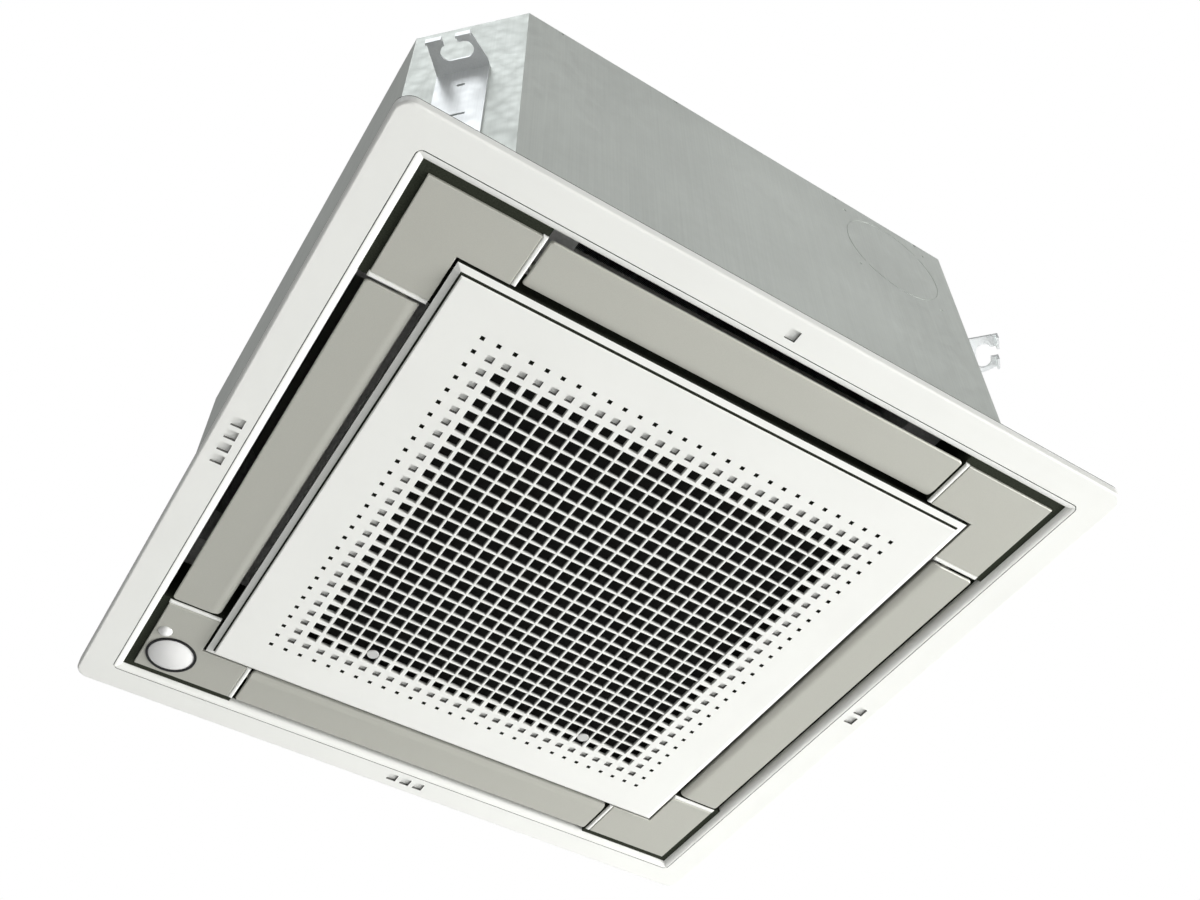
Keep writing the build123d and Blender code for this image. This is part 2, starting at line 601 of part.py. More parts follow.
# ---------------------------------------------------------------- casing
FLANGE = 5.0
GUSSET_DEEP = 30.0
GUSSET_WIDE = 44.0
TOP_SKIN = 1.0
KNOCKOUT_IN = 136.5
KNOCKOUT_DOWN = 62.0
KNOCKOUT = (BODY_HALF - KNOCKOUT_IN, BODY_TOP - KNOCKOUT_DOWN)
KNOCKOUT_R = 50.0
KNOCKOUT_LINE = 0.8
KNOCKOUT_DEEP = 0.4
KNOCKOUT_BRIDGE = 4.0
KNOCKOUT_SCREW = 90.0
KNOCKOUT_DIMPLE = 1.5
NOTCH = (5.0, 2.4)          # nicks in the top edge of the walls
NOTCH_IN = 98.5
NOTCH_X = (NOTCH_IN - BODY_HALF, -76.0, 96.0, BODY_HALF - NOTCH_IN)
chamfer_out = (2 * BODY_HALF - BODY_CHAMFER) / sqrt(2)
wall_top = BODY_TOP - BEAD - TOP_SKIN
DRAIN_IN = 107.5
DRAIN_DOWN = 35.0
DRAIN_AT = (BODY_HALF - DRAIN_IN, BODY_TOP - DRAIN_DOWN)
PIPES_FROM_DRAIN = 30.0
GAS_DOWN = 107.0
GAS_AT = (DRAIN_AT[0] - PIPES_FROM_DRAIN, BODY_TOP - GAS_DOWN)
LIQUID_DOWN = 72.0
LIQUID_AT = (GAS_AT[0], BODY_TOP - LIQUID_DOWN)
PIPE_WINDOW_OFF = 2.0
PIPE_WINDOW_DOWN = 80.0
PIPE_WINDOW = (GAS_AT[0] + PIPE_WINDOW_OFF, BODY_TOP - PIPE_WINDOW_DOWN)
PIPE_WINDOW_SIZE = (40.0, 90.0)
DRAIN_SPARE = 2.0
DRAIN_R = 13.0
GAS_R = 6.35
LIQUID_R = 3.175


def corner_plane(turn, height):
    """Level plane turned to a chamfered corner: local X along the chamfer, local Y inwards."""
    return Plane.XY.rotated((0, 0, turn - 45)).offset(height)


def face_plane(level, out):
    """Upright plane on the outside of a level one: local X along it, local Y upwards."""
    place = level.from_local_coords(Vector(0, -out, 0))
    return Plane(origin=place, x_dir=level.x_dir, z_dir=-level.y_dir)


with BuildPart() as casing_walls:
    with BuildSketch(Plane.XY.offset(PANEL_TOP)):
        octagon(0)
    extrude(amount=wall_top - PANEL_TOP)
    with BuildSketch(Plane.XY.offset(PANEL_TOP + SHEET)):
        octagon(SHEET)
    extrude(amount=BODY_HEIGHT, mode=Mode.SUBTRACT)
    with BuildSketch(Plane.XY.offset(PANEL_TOP)):
        octagon(FLANGE)
    extrude(amount=SHEET, mode=Mode.SUBTRACT)
    for turn in CORNERS.values():
        with BuildSketch(corner_plane(turn, PANEL_TOP)):
            with Locations((0, -chamfer_out + SHEET + GUSSET_DEEP / 2)):
                Rectangle(GUSSET_WIDE, GUSSET_DEEP)
            with Locations((0, -SCREW_PLACE * sqrt(2))):
                Circle(SCREW_SHANK + CLEAR / 2, mode=Mode.SUBTRACT)
        extrude(amount=SHEET)
    # knock-out for a fresh air duct, scored round with four bridges and four screw dimples
    with BuildSketch(Plane.XZ.offset(BODY_HALF)):
        with Locations(KNOCKOUT):
            Circle(KNOCKOUT_R + KNOCKOUT_LINE / 2)
            Circle(KNOCKOUT_R - KNOCKOUT_LINE / 2, mode=Mode.SUBTRACT)
            with PolarLocations(0, 2, 45):
                Rectangle(3 * KNOCKOUT_R, KNOCKOUT_BRIDGE, mode=Mode.SUBTRACT)
            with GridLocations(KNOCKOUT_SCREW, KNOCKOUT_SCREW, 2, 2):
                Circle(KNOCKOUT_DIMPLE)
    extrude(amount=-KNOCKOUT_DEEP, mode=Mode.SUBTRACT)
    for turn in SIDES.values():
        with BuildSketch(face_plane(side_plane(turn), BODY_HALF)):
            for x in NOTCH_X:
                with Locations((x, wall_top)):
                    Rectangle(NOTCH[0], 2 * NOTCH[1])
        extrude(amount=-SHEET, mode=Mode.SUBTRACT)
    # window of the pipes and the drain, on the right side
    with BuildSketch(Plane.YZ.offset(BODY_HALF)):
        with Locations(PIPE_WINDOW):
            Rectangle(*PIPE_WINDOW_SIZE)
        with Locations(DRAIN_AT):
            Circle(DRAIN_R + DRAIN_SPARE)
    extrude(amount=-SHEET, mode=Mode.SUBTRACT)
keep(casing_walls, "casing_walls")

BEAD_WIDE = 7.0
BEAD_CIRCLE = 92.0
BEAD_EDGE = 25.0
MOTOR_LUG = 68.0

with BuildPart() as casing_top:
    with BuildSketch(Plane.XY.offset(wall_top)):
        octagon(0)
    extrude(amount=TOP_SKIN)
    with BuildSketch(Plane.XY.offset(wall_top + TOP_SKIN)):
        Circle(BEAD_CIRCLE)
        Circle(BEAD_CIRCLE - BEAD_WIDE, mode=Mode.SUBTRACT)
        bead_start = BEAD_CIRCLE - BEAD_WIDE / 2
        for bead_end, first in ((chamfer_out - BEAD_EDGE, 45), (BODY_HALF - BEAD_EDGE, 0)):
            with PolarLocations((bead_start + bead_end) / 2, 4, first):
                Rectangle(bead_end - bead_start, BEAD_WIDE)
    extrude(amount=BEAD)
keep(casing_top, "casing_top")

PAN_TALL = 38.0
PAN_TOP = PANEL_TOP + PAN_TALL
with BuildPart() as casing_liner:
    with BuildSketch(Plane.XY.offset(PAN_TOP)):
        octagon(SHEET)
    extrude(amount=wall_top - PAN_TOP)
    with BuildSketch(Plane.XY.offset(PAN_TOP)):
        octagon(SHEET + LINER)
    extrude(amount=wall_top - PAN_TOP, mode=Mode.SUBTRACT)
    with BuildSketch(Plane.YZ.offset(BODY_HALF)):
        with Locations(PIPE_WINDOW):
            Rectangle(*PIPE_WINDOW_SIZE)
        with Locations(DRAIN_AT):
            Circle(DRAIN_R + DRAIN_SPARE)
    extrude(amount=-SHEET - LINER, mode=Mode.SUBTRACT)
keep(casing_liner, "casing_liner")

# ---------------------------------------------------------------- hanger brackets
TAB = 2.0
TAB_HALF = 21.0
TAB_LONG = 31.5
LIP_DROP = 7.0
SLOT_LONG = 26.0
SLOT_WIDE = 13.0
MOUTH_LOW = -8.5
MOUTH_HIGH = 2.5
LIP_END = 14.0
CUT_BACK = 24.0
PLATE_RISE = 23.0
PLATE_LOW = PANEL_TOP + PLATE_RISE
RIVET_HOLE_DOWN = 27.0
RIVET_HOLE_Z = HANGER_Z - RIVET_HOLE_DOWN
RIVET_HOLE = (7.0, 4.0)
PLATE_SLOT_RISE = 65.0
PLATE_SLOT_Z = PLATE_LOW + PLATE_SLOT_RISE
PLATE_SLOT = (14.0, 3.0)
hanger_out = HANGER_PITCH / sqrt(2)
tab_reach = chamfer_out + TAB_LONG

for corner, turn in CORNERS.items():
    with BuildPart() as hanger_bracket:
        with BuildSketch(corner_plane(turn, HANGER_Z - TAB)):
            with BuildLine():
                Polyline(
                    (-TAB_HALF, -chamfer_out),
                    (-TAB_HALF, -tab_reach),
                    (LIP_END, -tab_reach),
                    (TAB_HALF, -tab_reach + CUT_BACK),
                    (TAB_HALF, -chamfer_out),
                    close=True,
                )
            make_face()
            with Locations((0, -hanger_out)):
                SlotOverall(SLOT_LONG, SLOT_WIDE, mode=Mode.SUBTRACT)
            mouth_middle = (MOUTH_LOW + MOUTH_HIGH) / 2
            with Locations((mouth_middle, -(hanger_out + tab_reach + PAST) / 2)):
                mouth_deep = tab_reach - hanger_out + PAST
                Rectangle(MOUTH_HIGH - MOUTH_LOW, mouth_deep, mode=Mode.SUBTRACT)
        extrude(amount=TAB)
        with BuildSketch(corner_plane(turn, HANGER_Z - LIP_DROP)):
            for low, high in ((-TAB_HALF, MOUTH_LOW), (MOUTH_HIGH, LIP_END)):
                with Locations(((low + high) / 2, -tab_reach + TAB / 2)):
                    Rectangle(high - low, TAB)
        extrude(amount=LIP_DROP)
        with BuildSketch(corner_plane(turn, PLATE_LOW)):
            with Locations((0, -chamfer_out - TAB / 2)):
                Rectangle(2 * TAB_HALF, TAB)
        extrude(amount=HANGER_Z - PLATE_LOW)
        with BuildSketch(face_plane(corner_plane(turn, 0), chamfer_out + TAB)):
            with Locations((0, RIVET_HOLE_Z)):
                SlotOverall(*RIVET_HOLE)
            with Locations((0, PLATE_SLOT_Z)):
                Rectangle(*PLATE_SLOT)
        extrude(amount=-TAB, mode=Mode.SUBTRACT)
    keep(hanger_bracket, "hanger_bracket_" + corner)

# ---------------------------------------------------------------- drain pan, seals, bell mouth
PAN_LOW = PANEL_TOP + SHEET
OUTLET_WALL = 15.5
OUTLET_OUT = BODY_HALF - OUTLET_WALL
OUTLET_WIDE = 40.0
OUTLET_IN = OUTLET_OUT - OUTLET_WIDE
OUTLET_LONG = 300.0
THROAT = 100.0
MOUTH_RADIUS = 42.0
PAN_HOLE_GAP = 1.0
COIL_FROM_OUTLET = 27.0
COIL_OUT = OUTLET_IN - COIL_FROM_OUTLET
COIL_DEEP = 25.0
COIL_IN = COIL_OUT - COIL_DEEP
COIL_CORNER = 60.0
TROUGH = 11.0
COIL_LOW = PAN_TOP - TROUGH
COIL_HEADROOM = 9.5
COIL_TOP = wall_top - COIL_HEADROOM
COIL_OPENING = 80.0
COIL_END = COIL_OUT - COIL_OPENING
TROUGH_SPARE = 8.0
SUMP_OFF = 9.0
SUMP = (COIL_OUT + SUMP_OFF, COIL_OUT)
SUMP_HALF = 32.0
SUMP_DEEP = 23.0
SUMP_LOW = PAN_TOP - SUMP_DEEP
SEAL = 7.0
OUTER_SEAL = 6.0


def coil_ring(spare):
    """Plan of the bent heat exchanger, a rounded square ring, with room added all round."""
    outer = COIL_OUT + spare
    inner = COIL_IN - spare
    RectangleRounded(2 * outer, 2 * outer, COIL_CORNER + spare)
    inner_corner = COIL_CORNER - COIL_DEEP - spare
    RectangleRounded(2 * inner, 2 * inner, inner_corner, mode=Mode.SUBTRACT)


with BuildPart() as drain_pan:
    with BuildSketch(Plane.XY.offset(PAN_LOW)):
        Rectangle(2 * OUTLET_IN, 2 * OUTLET_IN)
        Circle(THROAT + MOUTH_RADIUS + PAN_HOLE_GAP, mode=Mode.SUBTRACT)
    extrude(amount=PAN_TOP - PAN_LOW)
    with BuildSketch(Plane.XY.offset(COIL_LOW)):
        coil_ring(TROUGH_SPARE)
    extrude(amount=PAN_TOP - COIL_LOW, mode=Mode.SUBTRACT)
    with BuildSketch(Plane.XY.offset(SUMP_LOW)):
        with Locations(SUMP):
            Rectangle(2 * SUMP_HALF, 2 * SUMP_HALF)
    extrude(amount=PAN_TOP - SUMP_LOW, mode=Mode.SUBTRACT)
keep(drain_pan, "drain_pan")

# foam round the drain pan, with the outer walls and the ends of the four outlets
with BuildPart() as outlet_frame:
    with BuildSketch(Plane.XY.offset(PAN_LOW)):
        octagon(SHEET)
        Rectangle(2 * OUTLET_IN, 2 * OUTLET_IN, mode=Mode.SUBTRACT)
        with PolarLocations(0, 4):
            with Locations((0, -(OUTLET_IN + OUTLET_OUT) / 2)):
                Rectangle(OUTLET_LONG, OUTLET_OUT - OUTLET_IN, mode=Mode.SUBTRACT)
    extrude(amount=PAN_TOP - PAN_LOW)
    with BuildSketch(Plane.XY.offset(SUMP_LOW)):
        with Locations(SUMP):
            Rectangle(2 * SUMP_HALF, 2 * SUMP_HALF)
    extrude(amount=PAN_TOP - SUMP_LOW, mode=Mode.SUBTRACT)
    with BuildSketch(Plane.XY.offset(PAN_LOW)):
        with GridLocations(2 * SCREW_PLACE, 2 * SCREW_PLACE, 2, 2):
            Circle(SCREW_SHANK + CLEAR)
    extrude(amount=SCREW_TOP + PAST - PAN_LOW, mode=Mode.SUBTRACT)
keep(outlet_frame, "outlet_frame")

with BuildPart() as panel_seal:
    with BuildSketch(Plane.XY.offset(PANEL_TOP)):
        seal_out = BODY_HALF - FLANGE - CLEAR
        square_ring(seal_out, seal_out - OUTER_SEAL)
        with GridLocations(2 * seal_out, 2 * seal_out, 2, 2):
            Rectangle(2 * BODY_CHAMFER, 2 * BODY_CHAMFER, mode=Mode.SUBTRACT)
    extrude(amount=PAN_LOW - PANEL_TOP)
    with BuildSketch(Plane.XY.offset(PANEL_TOP)):
        square_ring(RING_INNER + SEAL, RING_INNER)
    extrude(amount=PAN_LOW - PANEL_TOP)
keep(panel_seal, "panel_seal")

MOUTH_SKIN = 2.0
MOUTH_FLANGE = 10.0
THROAT_RISE = 15.0
THROAT_TOP = PAN_TOP + THROAT_RISE

with BuildPart() as bell_mouth:
    with BuildSketch(Plane.XZ):
        with BuildLine():
            curve_x = THROAT + MOUTH_RADIUS
            curve_z = PAN_LOW - MOUTH_SKIN + MOUTH_RADIUS
            near = MOUTH_RADIUS * sin(radians(45))
            back = MOUTH_RADIUS - MOUTH_SKIN
            far = back * sin(radians(45))
            Line((curve_x + MOUTH_FLANGE, PAN_LOW - MOUTH_SKIN), (curve_x, PAN_LOW - MOUTH_SKIN))
            ThreePointArc(
                (curve_x, PAN_LOW - MOUTH_SKIN), (curve_x - near, curve_z - near), (THROAT, curve_z)
            )
            Line((THROAT, curve_z), (THROAT, THROAT_TOP))
            Line((THROAT, THROAT_TOP), (THROAT + MOUTH_SKIN, THROAT_TOP))
            Line((THROAT + MOUTH_SKIN, THROAT_TOP), (THROAT + MOUTH_SKIN, curve_z))
            ThreePointArc(
                (THROAT + MOUTH_SKIN, curve_z), (curve_x - far, curve_z - far), (curve_x, PAN_LOW)
            )
            Line((curve_x, PAN_LOW), (curve_x + MOUTH_FLANGE, PAN_LOW))
            Line((curve_x + MOUTH_FLANGE, PAN_LOW), (curve_x + MOUTH_FLANGE, PAN_LOW - MOUTH_SKIN))
        make_face()
    revolve(axis=Axis.Z)
keep(bell_mouth, "bell_mouth")

# ---------------------------------------------------------------- fan
FAN_DOWN = 68.5
HUB_Z = wall_top - FAN_DOWN
HUB_SKIN = 2.0
SHROUD_LAP = 6.0
SHROUD_LOW = THROAT_TOP - SHROUD_LAP
SHROUD_GAP = 5.0
SHROUD_SKIN = 2.0
SHROUD_COLLAR = 8.0
SHROUD_START = SHROUD_LOW + SHROUD_COLLAR
CONE_OUT = 75.0
CONE_IN = 30.0
CONE_TALL = 46.0
CONE_Z = HUB_Z - CONE_TALL
CONE_SKIN = 3.0
HUB_BOSS = 14.0
BOSS_DROP = 14.0
BOSS_LOW = CONE_Z - BOSS_DROP
BOSS_TALL = 26.0
BOSS_TOP = BOSS_LOW + BOSS_TALL
SHAFT = 5.0
SHAFT_DROP = 12.0
SHAFT_LOW = BOSS_LOW - SHAFT_DROP
SHAFT_LONG = 86.0
SHAFT_TOP = SHAFT_LOW + SHAFT_LONG
BLADE_IN = 107.0
BLADE_SWEEP = 34.0
BLADE_BELLY = 9.0
BLADE_BACK = 4.5
BLADE_INSET = 1.0
NUT = 8.5
NUT_TALL = 7.0
collar = THROAT + SHROUD_GAP
shroud_curve = FAN_RADIUS - collar

# plan of one backward curved blade, thick at the root and thin at the tip
with BuildSketch() as blade:
    with BuildLine():
        sweep_angle = radians(BLADE_SWEEP)
        tip_r = FAN_RADIUS - BLADE_INSET
        root = Vector(BLADE_IN, 0)
        tip = Vector(tip_r * cos(sweep_angle), -tip_r * sin(sweep_angle))
        chord = tip - root
        normal = Vector(-chord.Y, chord.X).normalized()
        half_way = (root + tip) / 2
        ThreePointArc(root, half_way + normal * BLADE_BELLY, tip)
        ThreePointArc(tip, half_way + normal * BLADE_BACK, root)
    make_face()

with BuildPart() as turbo_fan:
    with BuildSketch(Plane.XY.offset(SHROUD_START)):
        with PolarLocations(0, FAN_BLADES):
            add(blade.sketch)
    extrude(amount=HUB_Z + HUB_SKIN / 2 - SHROUD_START)
    # the blades end on the shroud's curve
    with BuildSketch(Plane.XZ):
        with BuildLine():
            cut = shroud_curve - SHROUD_SKIN / 2
            slant = cut * sin(radians(45))
            Line((FAN_RADIUS, SHROUD_START), (FAN_RADIUS - cut, SHROUD_START))
            ThreePointArc(
                (FAN_RADIUS - cut, SHROUD_START),
                (FAN_RADIUS - slant, SHROUD_START + slant),
                (FAN_RADIUS, SHROUD_START + cut),
            )
            Line((FAN_RADIUS, SHROUD_START + cut), (FAN_RADIUS, SHROUD_START))
        make_face()
    revolve(axis=Axis.Z, mode=Mode.SUBTRACT)
    # shroud
    with BuildSketch(Plane.XZ):
        with BuildLine():
            big = shroud_curve
            small = shroud_curve - SHROUD_SKIN
            big_slant = big * sin(radians(45))
            small_slant = small * sin(radians(45))
            Line((collar, SHROUD_LOW), (collar, SHROUD_START))
            ThreePointArc(
                (collar, SHROUD_START),
                (FAN_RADIUS - big_slant, SHROUD_START + big_slant),
                (FAN_RADIUS, SHROUD_START + big),
            )
            Line((FAN_RADIUS, SHROUD_START + big), (FAN_RADIUS, SHROUD_START + small))
            ThreePointArc(
                (FAN_RADIUS, SHROUD_START + small),
                (FAN_RADIUS - small_slant, SHROUD_START + small_slant),
                (collar + SHROUD_SKIN, SHROUD_START),
            )
            Line((collar + SHROUD_SKIN, SHROUD_START), (collar + SHROUD_SKIN, SHROUD_LOW))
            Line((collar + SHROUD_SKIN, SHROUD_LOW), (collar, SHROUD_LOW))
        make_face()
    revolve(axis=Axis.Z)
    # hub: flat rim, cone and boss
    with BuildSketch(Plane.XZ):
        with BuildLine():
            Polyline(
                (SHAFT + RUNNING, BOSS_LOW),
                (HUB_BOSS, BOSS_LOW),
                (HUB_BOSS, CONE_Z),
                (CONE_IN, CONE_Z),
                (CONE_OUT, HUB_Z),
                (FAN_RADIUS, HUB_Z),
                (FAN_RADIUS, HUB_Z + HUB_SKIN),
                (CONE_OUT - CONE_SKIN, HUB_Z + HUB_SKIN),
                (CONE_IN - CONE_SKIN / 2, CONE_Z + CONE_SKIN),
                (HUB_BOSS, CONE_Z + CONE_SKIN),
                (HUB_BOSS, BOSS_TOP),
                (SHAFT + RUNNING, BOSS_TOP),
                close=True,
            )
        make_face()
    revolve(axis=Axis.Z)
keep(turbo_fan, "turbo_fan")

with BuildPart() as motor_shaft:
    with BuildSketch(Plane.XY.offset(SHAFT_LOW)):
        Circle(SHAFT)
    extrude(amount=SHAFT_TOP - SHAFT_LOW)
keep(motor_shaft, "motor_shaft")

with BuildPart() as fan_nut:
    with BuildSketch(Plane.XY.offset(BOSS_LOW - NUT_TALL)):
        RegularPolygon(NUT, 6)
        Circle(SHAFT + RUNNING, mode=Mode.SUBTRACT)
    extrude(amount=NUT_TALL)
keep(fan_nut, "fan_nut")

MOTOR_R = 56.0
MOTOR_HEADROOM = 18.5
MOTOR_TOP = wall_top - MOTOR_HEADROOM
MOTOR_TALL = 60.0
MOTOR_LOW = MOTOR_TOP - MOTOR_TALL
MOTOR_SOFT = 4.0
MOTOR_BOSS = 16.0
MOTOR_BOSS_TALL = 8.0
MOTOR_BOSS_LOW = MOTOR_LOW - MOTOR_BOSS_TALL
RUBBER = 9.0
RUBBER_TALL = 20.5
LUG = 4.0
LUG_LOW = wall_top - RUBBER_TALL - LUG
LUG_WIDE = 18.0
LUG_ROOT = 8.0
STUD = 3.0
STUD_PAST = 8.0
STUD_NUT = 5.5

with BuildPart() as fan_motor:
    with BuildSketch(Plane.XY.offset(MOTOR_LOW)):
        Circle(MOTOR_R)
    extrude(amount=MOTOR_TOP - MOTOR_LOW)
    chamfer(edges().filter_by(GeomType.CIRCLE), MOTOR_SOFT)
    with BuildSketch(Plane.XY.offset(MOTOR_BOSS_LOW)):
        Circle(MOTOR_BOSS)
    extrude(amount=MOTOR_LOW - MOTOR_BOSS_LOW)
    with BuildSketch(Plane.XY.offset(LUG_LOW)):
        with PolarLocations((MOTOR_R - LUG_ROOT + MOTOR_LUG) / 2, 4, 45):
            Rectangle(MOTOR_LUG - MOTOR_R + LUG_ROOT, LUG_WIDE)
        with PolarLocations(MOTOR_LUG, 4, 45):
            Circle(LUG_WIDE / 2)
            Circle(STUD + CLEAR, mode=Mode.SUBTRACT)
    extrude(amount=LUG)
    with BuildSketch(Plane.XY.offset(MOTOR_BOSS_LOW)):
        Circle(SHAFT + RUNNING)
    extrude(amount=SHAFT_TOP + CLEAR - MOTOR_BOSS_LOW, mode=Mode.SUBTRACT)
keep(fan_motor, "fan_motor")

with BuildPart() as motor_rubbers:
    with BuildSketch(Plane.XY.offset(LUG_LOW + LUG)):
        with PolarLocations(MOTOR_LUG, 4, 45):
            Circle(RUBBER)
            Circle(STUD + RUNNING, mode=Mode.SUBTRACT)
    extrude(amount=RUBBER_TALL)
keep(motor_rubbers, "motor_rubbers")

with BuildPart() as motor_studs:
    with BuildSketch(Plane.XY.offset(LUG_LOW - STUD_PAST)):
        with PolarLocations(MOTOR_LUG, 4, 45):
            Circle(STUD)
    extrude(amount=STUD_PAST + LUG + RUBBER_TALL)
    with BuildSketch(Plane.XY.offset(LUG_LOW - STUD_NUT)):
        with PolarLocations(MOTOR_LUG, 4, 45):
            RegularPolygon(STUD_NUT, 6)
    extrude(amount=STUD_NUT)
keep(motor_studs, "motor_studs")

# ---------------------------------------------------------------- heat exchanger
FIN_GROOVE = 2.0
FIN_DEEP = 3.0
FIN_PITCH = 12.0
FIN_COUNT = 2 * int((COIL_OUT - COIL_CORNER) / FIN_PITCH)
END_PLATE = 1.2
END_SPARE = 3.0
TUBE = 3.5
TUBE_STEPS = 8
TUBE_FROM_ENDS = 14.5
TUBE_FIRST = COIL_LOW + TUBE_FROM_ENDS
TUBE_STEP = (COIL_TOP - COIL_LOW - 2 * TUBE_FROM_ENDS) / TUBE_STEPS
HAIRPIN = 12.0
HAIRPIN_BEND = 5.0
HAIRPINS_PIPE_END = (0, 2, 7)
HAIRPINS_FAR_END = (0, 2, 5, 7)
TUBE_ROW = 6.5
rows = (COIL_IN + TUBE_ROW, COIL_OUT - TUBE_ROW)

with BuildPart() as coil_fins:
    with BuildSketch(Plane.XY.offset(COIL_LOW)):
        coil_ring(0)
        with Locations((COIL_END + COIL_OPENING / 2, COIL_END + COIL_OPENING / 2)):
            Rectangle(COIL_OPENING, COIL_OPENING, mode=Mode.SUBTRACT)
        with PolarLocations(0, 4):
            with Locations((0, -COIL_OUT)):
                with GridLocations(FIN_PITCH, 0, FIN_COUNT, 1):
                    Rectangle(FIN_GROOVE, 2 * FIN_DEEP, mode=Mode.SUBTRACT)
    extrude(amount=COIL_TOP - COIL_LOW)
keep(coil_fins, "coil_fins")

with BuildPart() as coil_end_plates:
    for plane in (Plane.XZ.offset(-COIL_END - END_PLATE), Plane.YZ.offset(COIL_END)):
        with BuildSketch(plane):
            with Locations(((COIL_IN + COIL_OUT) / 2, (COIL_LOW + COIL_TOP) / 2)):
                Rectangle(COIL_DEEP + 2 * END_SPARE, COIL_TOP - COIL_LOW)
        extrude(amount=END_PLATE)
keep(coil_end_plates, "coil_end_plates")

with BuildPart() as coil_hairpins:
    start = COIL_END + END_PLATE
    bend_ends = (
        (HAIRPINS_PIPE_END, lambda across, along, z: (across, along, z), Plane.XZ.offset(-start)),
        (HAIRPINS_FAR_END, lambda across, along, z: (along, across, z), Plane.YZ.offset(start)),
    )
    for levels, at, plane in bend_ends:
        for row in rows:
            for level in levels:
                low = TUBE_FIRST + TUBE_STEP * level
                high = low + TUBE_STEP
                out = start + HAIRPIN
                with BuildLine() as bend:
                    Polyline(
                        at(row, start, low),
                        at(row, out - HAIRPIN_BEND, low),
                        at(row, out, low + HAIRPIN_BEND),
                        at(row, out, high - HAIRPIN_BEND),
                        at(row, out - HAIRPIN_BEND, high),
                        at(row, start, high),
                    )
                with BuildSketch(plane):
                    with Locations((row, low)):
                        RegularPolygon(TUBE, 6)
                sweep(path=bend.wires()[0], transition=Transition.RIGHT)
keep(coil_hairpins, "coil_hairpins")

# ---------------------------------------------------------------- pipes and drain
PIPE_BEND = 14.0
PIPE_FROM = (COIL_IN + COIL_OUT) / 2
PLATE_OUT = 1.2
PIPE_LONG = 22.5
PIPE_END = BODY_HALF + PIPE_LONG
UNION_HEX = 12.0
GAS_UNION = 13.5
GAS_THREAD = 9.525
GAS_THREAD_LONG = 18.0
LIQUID_UNION = 9.5
LIQUID_THREAD = 5.56
LIQUID_THREAD_LONG = 14.0
UNION_OUT = 12.5
UNION_START = BODY_HALF + UNION_OUT
DRAIN_LONG = 47.5
DRAIN_END = BODY_HALF + DRAIN_LONG
DRAIN_BORE = 9.8
DRAIN_FLANGE = 18.0
DRAIN_FLANGE_THICK = 2.0
PLATE_MARGIN = (8.0, 6.0)
PLATE_ROUND = 3.0
HOSE = 9.5
HOSE_BORE = 7.5
HOSE_BEND = 18.0
HOSE_TURN = 28.0
HOSE_OUT = 10.5
PUMP_R = 22.0
PUMP_TALL = 93.0
PUMP_TOP = PAN_TOP + PUMP_TALL
PUMP_FOOT = 5.0
PUMP_FOOT_WIDE = 16.0
PUMP_FOOT_TALL = 3.0
PUMP_NOZZLE = 12.0
PUMP_NOZZLE_LONG = 19.0
PUMP_OFF = 4.0
PUMP_AT = (SUMP[0] + PUMP_OFF, SUMP[1] - PUMP_OFF)
SPIGOT_OFF = (10.0, 9.0)
PUMP_SPIGOT = (PUMP_AT[0] + SPIGOT_OFF[0], PUMP_AT[1] - SPIGOT_OFF[1])
PUMP_SPIGOT_R = 7.2
PUMP_SPIGOT_LONG = 14.0


def cold_pipe(at, radius):
    """Copper pipe from the coil's end plate, round a bend and out of the right side."""
    with BuildLine() as route:
        FilletPolyline(
            (PIPE_FROM, COIL_END + END_PLATE, at[1]),
            (PIPE_FROM, at[0], at[1]),
            (PIPE_END, at[0], at[1]),
            radius=PIPE_BEND,
        )
    with BuildSketch(Plane.XZ.offset(-COIL_END - END_PLATE)) as section:
        with Locations((PIPE_FROM, at[1])):
            Circle(radius)
    sweep(section.sketch, path=route.wires()[0])


def flare_union(at, pipe, hexagon, thread, thread_long):
    """Flare union on a pipe's end: hexagon over the pipe, then the male thread's cylinder."""
    with BuildSketch(Plane.YZ.offset(UNION_START)) as nut:
        with Locations(at):
            RegularPolygon(hexagon, 6)
    extrude(nut.sketch, amount=UNION_HEX)
    with BuildSketch(Plane.YZ.offset(UNION_START + UNION_HEX)) as male:
        with Locations(at):
            Circle(thread)
    extrude(male.sketch, amount=thread_long)
    with BuildSketch(Plane.YZ.offset(UNION_START)) as bore:
        with Locations(at):
            Circle(pipe + RUNNING)
    extrude(bore.sketch, amount=PIPE_END - UNION_START, mode=Mode.SUBTRACT)


with BuildPart() as gas_pipe:
    cold_pipe(GAS_AT, GAS_R)
keep(gas_pipe, "gas_pipe")

with BuildPart() as liquid_pipe:
    cold_pipe(LIQUID_AT, LIQUID_R)
keep(liquid_pipe, "liquid_pipe")

with BuildPart() as gas_union:
    flare_union(GAS_AT, GAS_R, GAS_UNION, GAS_THREAD, GAS_THREAD_LONG)
keep(gas_union, "gas_union")

with BuildPart() as liquid_union:
    flare_union(LIQUID_AT, LIQUID_R, LIQUID_UNION, LIQUID_THREAD, LIQUID_THREAD_LONG)
keep(liquid_union, "liquid_union")

with BuildPart() as pipe_plate:
    with BuildSketch(Plane.YZ.offset(BODY_HALF)):
        with Locations(PIPE_WINDOW):
            Rectangle(
                PIPE_WINDOW_SIZE[0] + 2 * PLATE_MARGIN[0], PIPE_WINDOW_SIZE[1] + 2 * PLATE_MARGIN[1]
            )
        with Locations(DRAIN_AT):
            Circle(DRAIN_FLANGE + PLATE_ROUND)
        with Locations(GAS_AT):
            Circle(GAS_R + CLEAR, mode=Mode.SUBTRACT)
        with Locations(LIQUID_AT):
            Circle(LIQUID_R + CLEAR, mode=Mode.SUBTRACT)
        with Locations(DRAIN_AT):
            Circle(DRAIN_R + CLEAR, mode=Mode.SUBTRACT)
    extrude(amount=PLATE_OUT)
keep(pipe_plate, "pipe_plate")

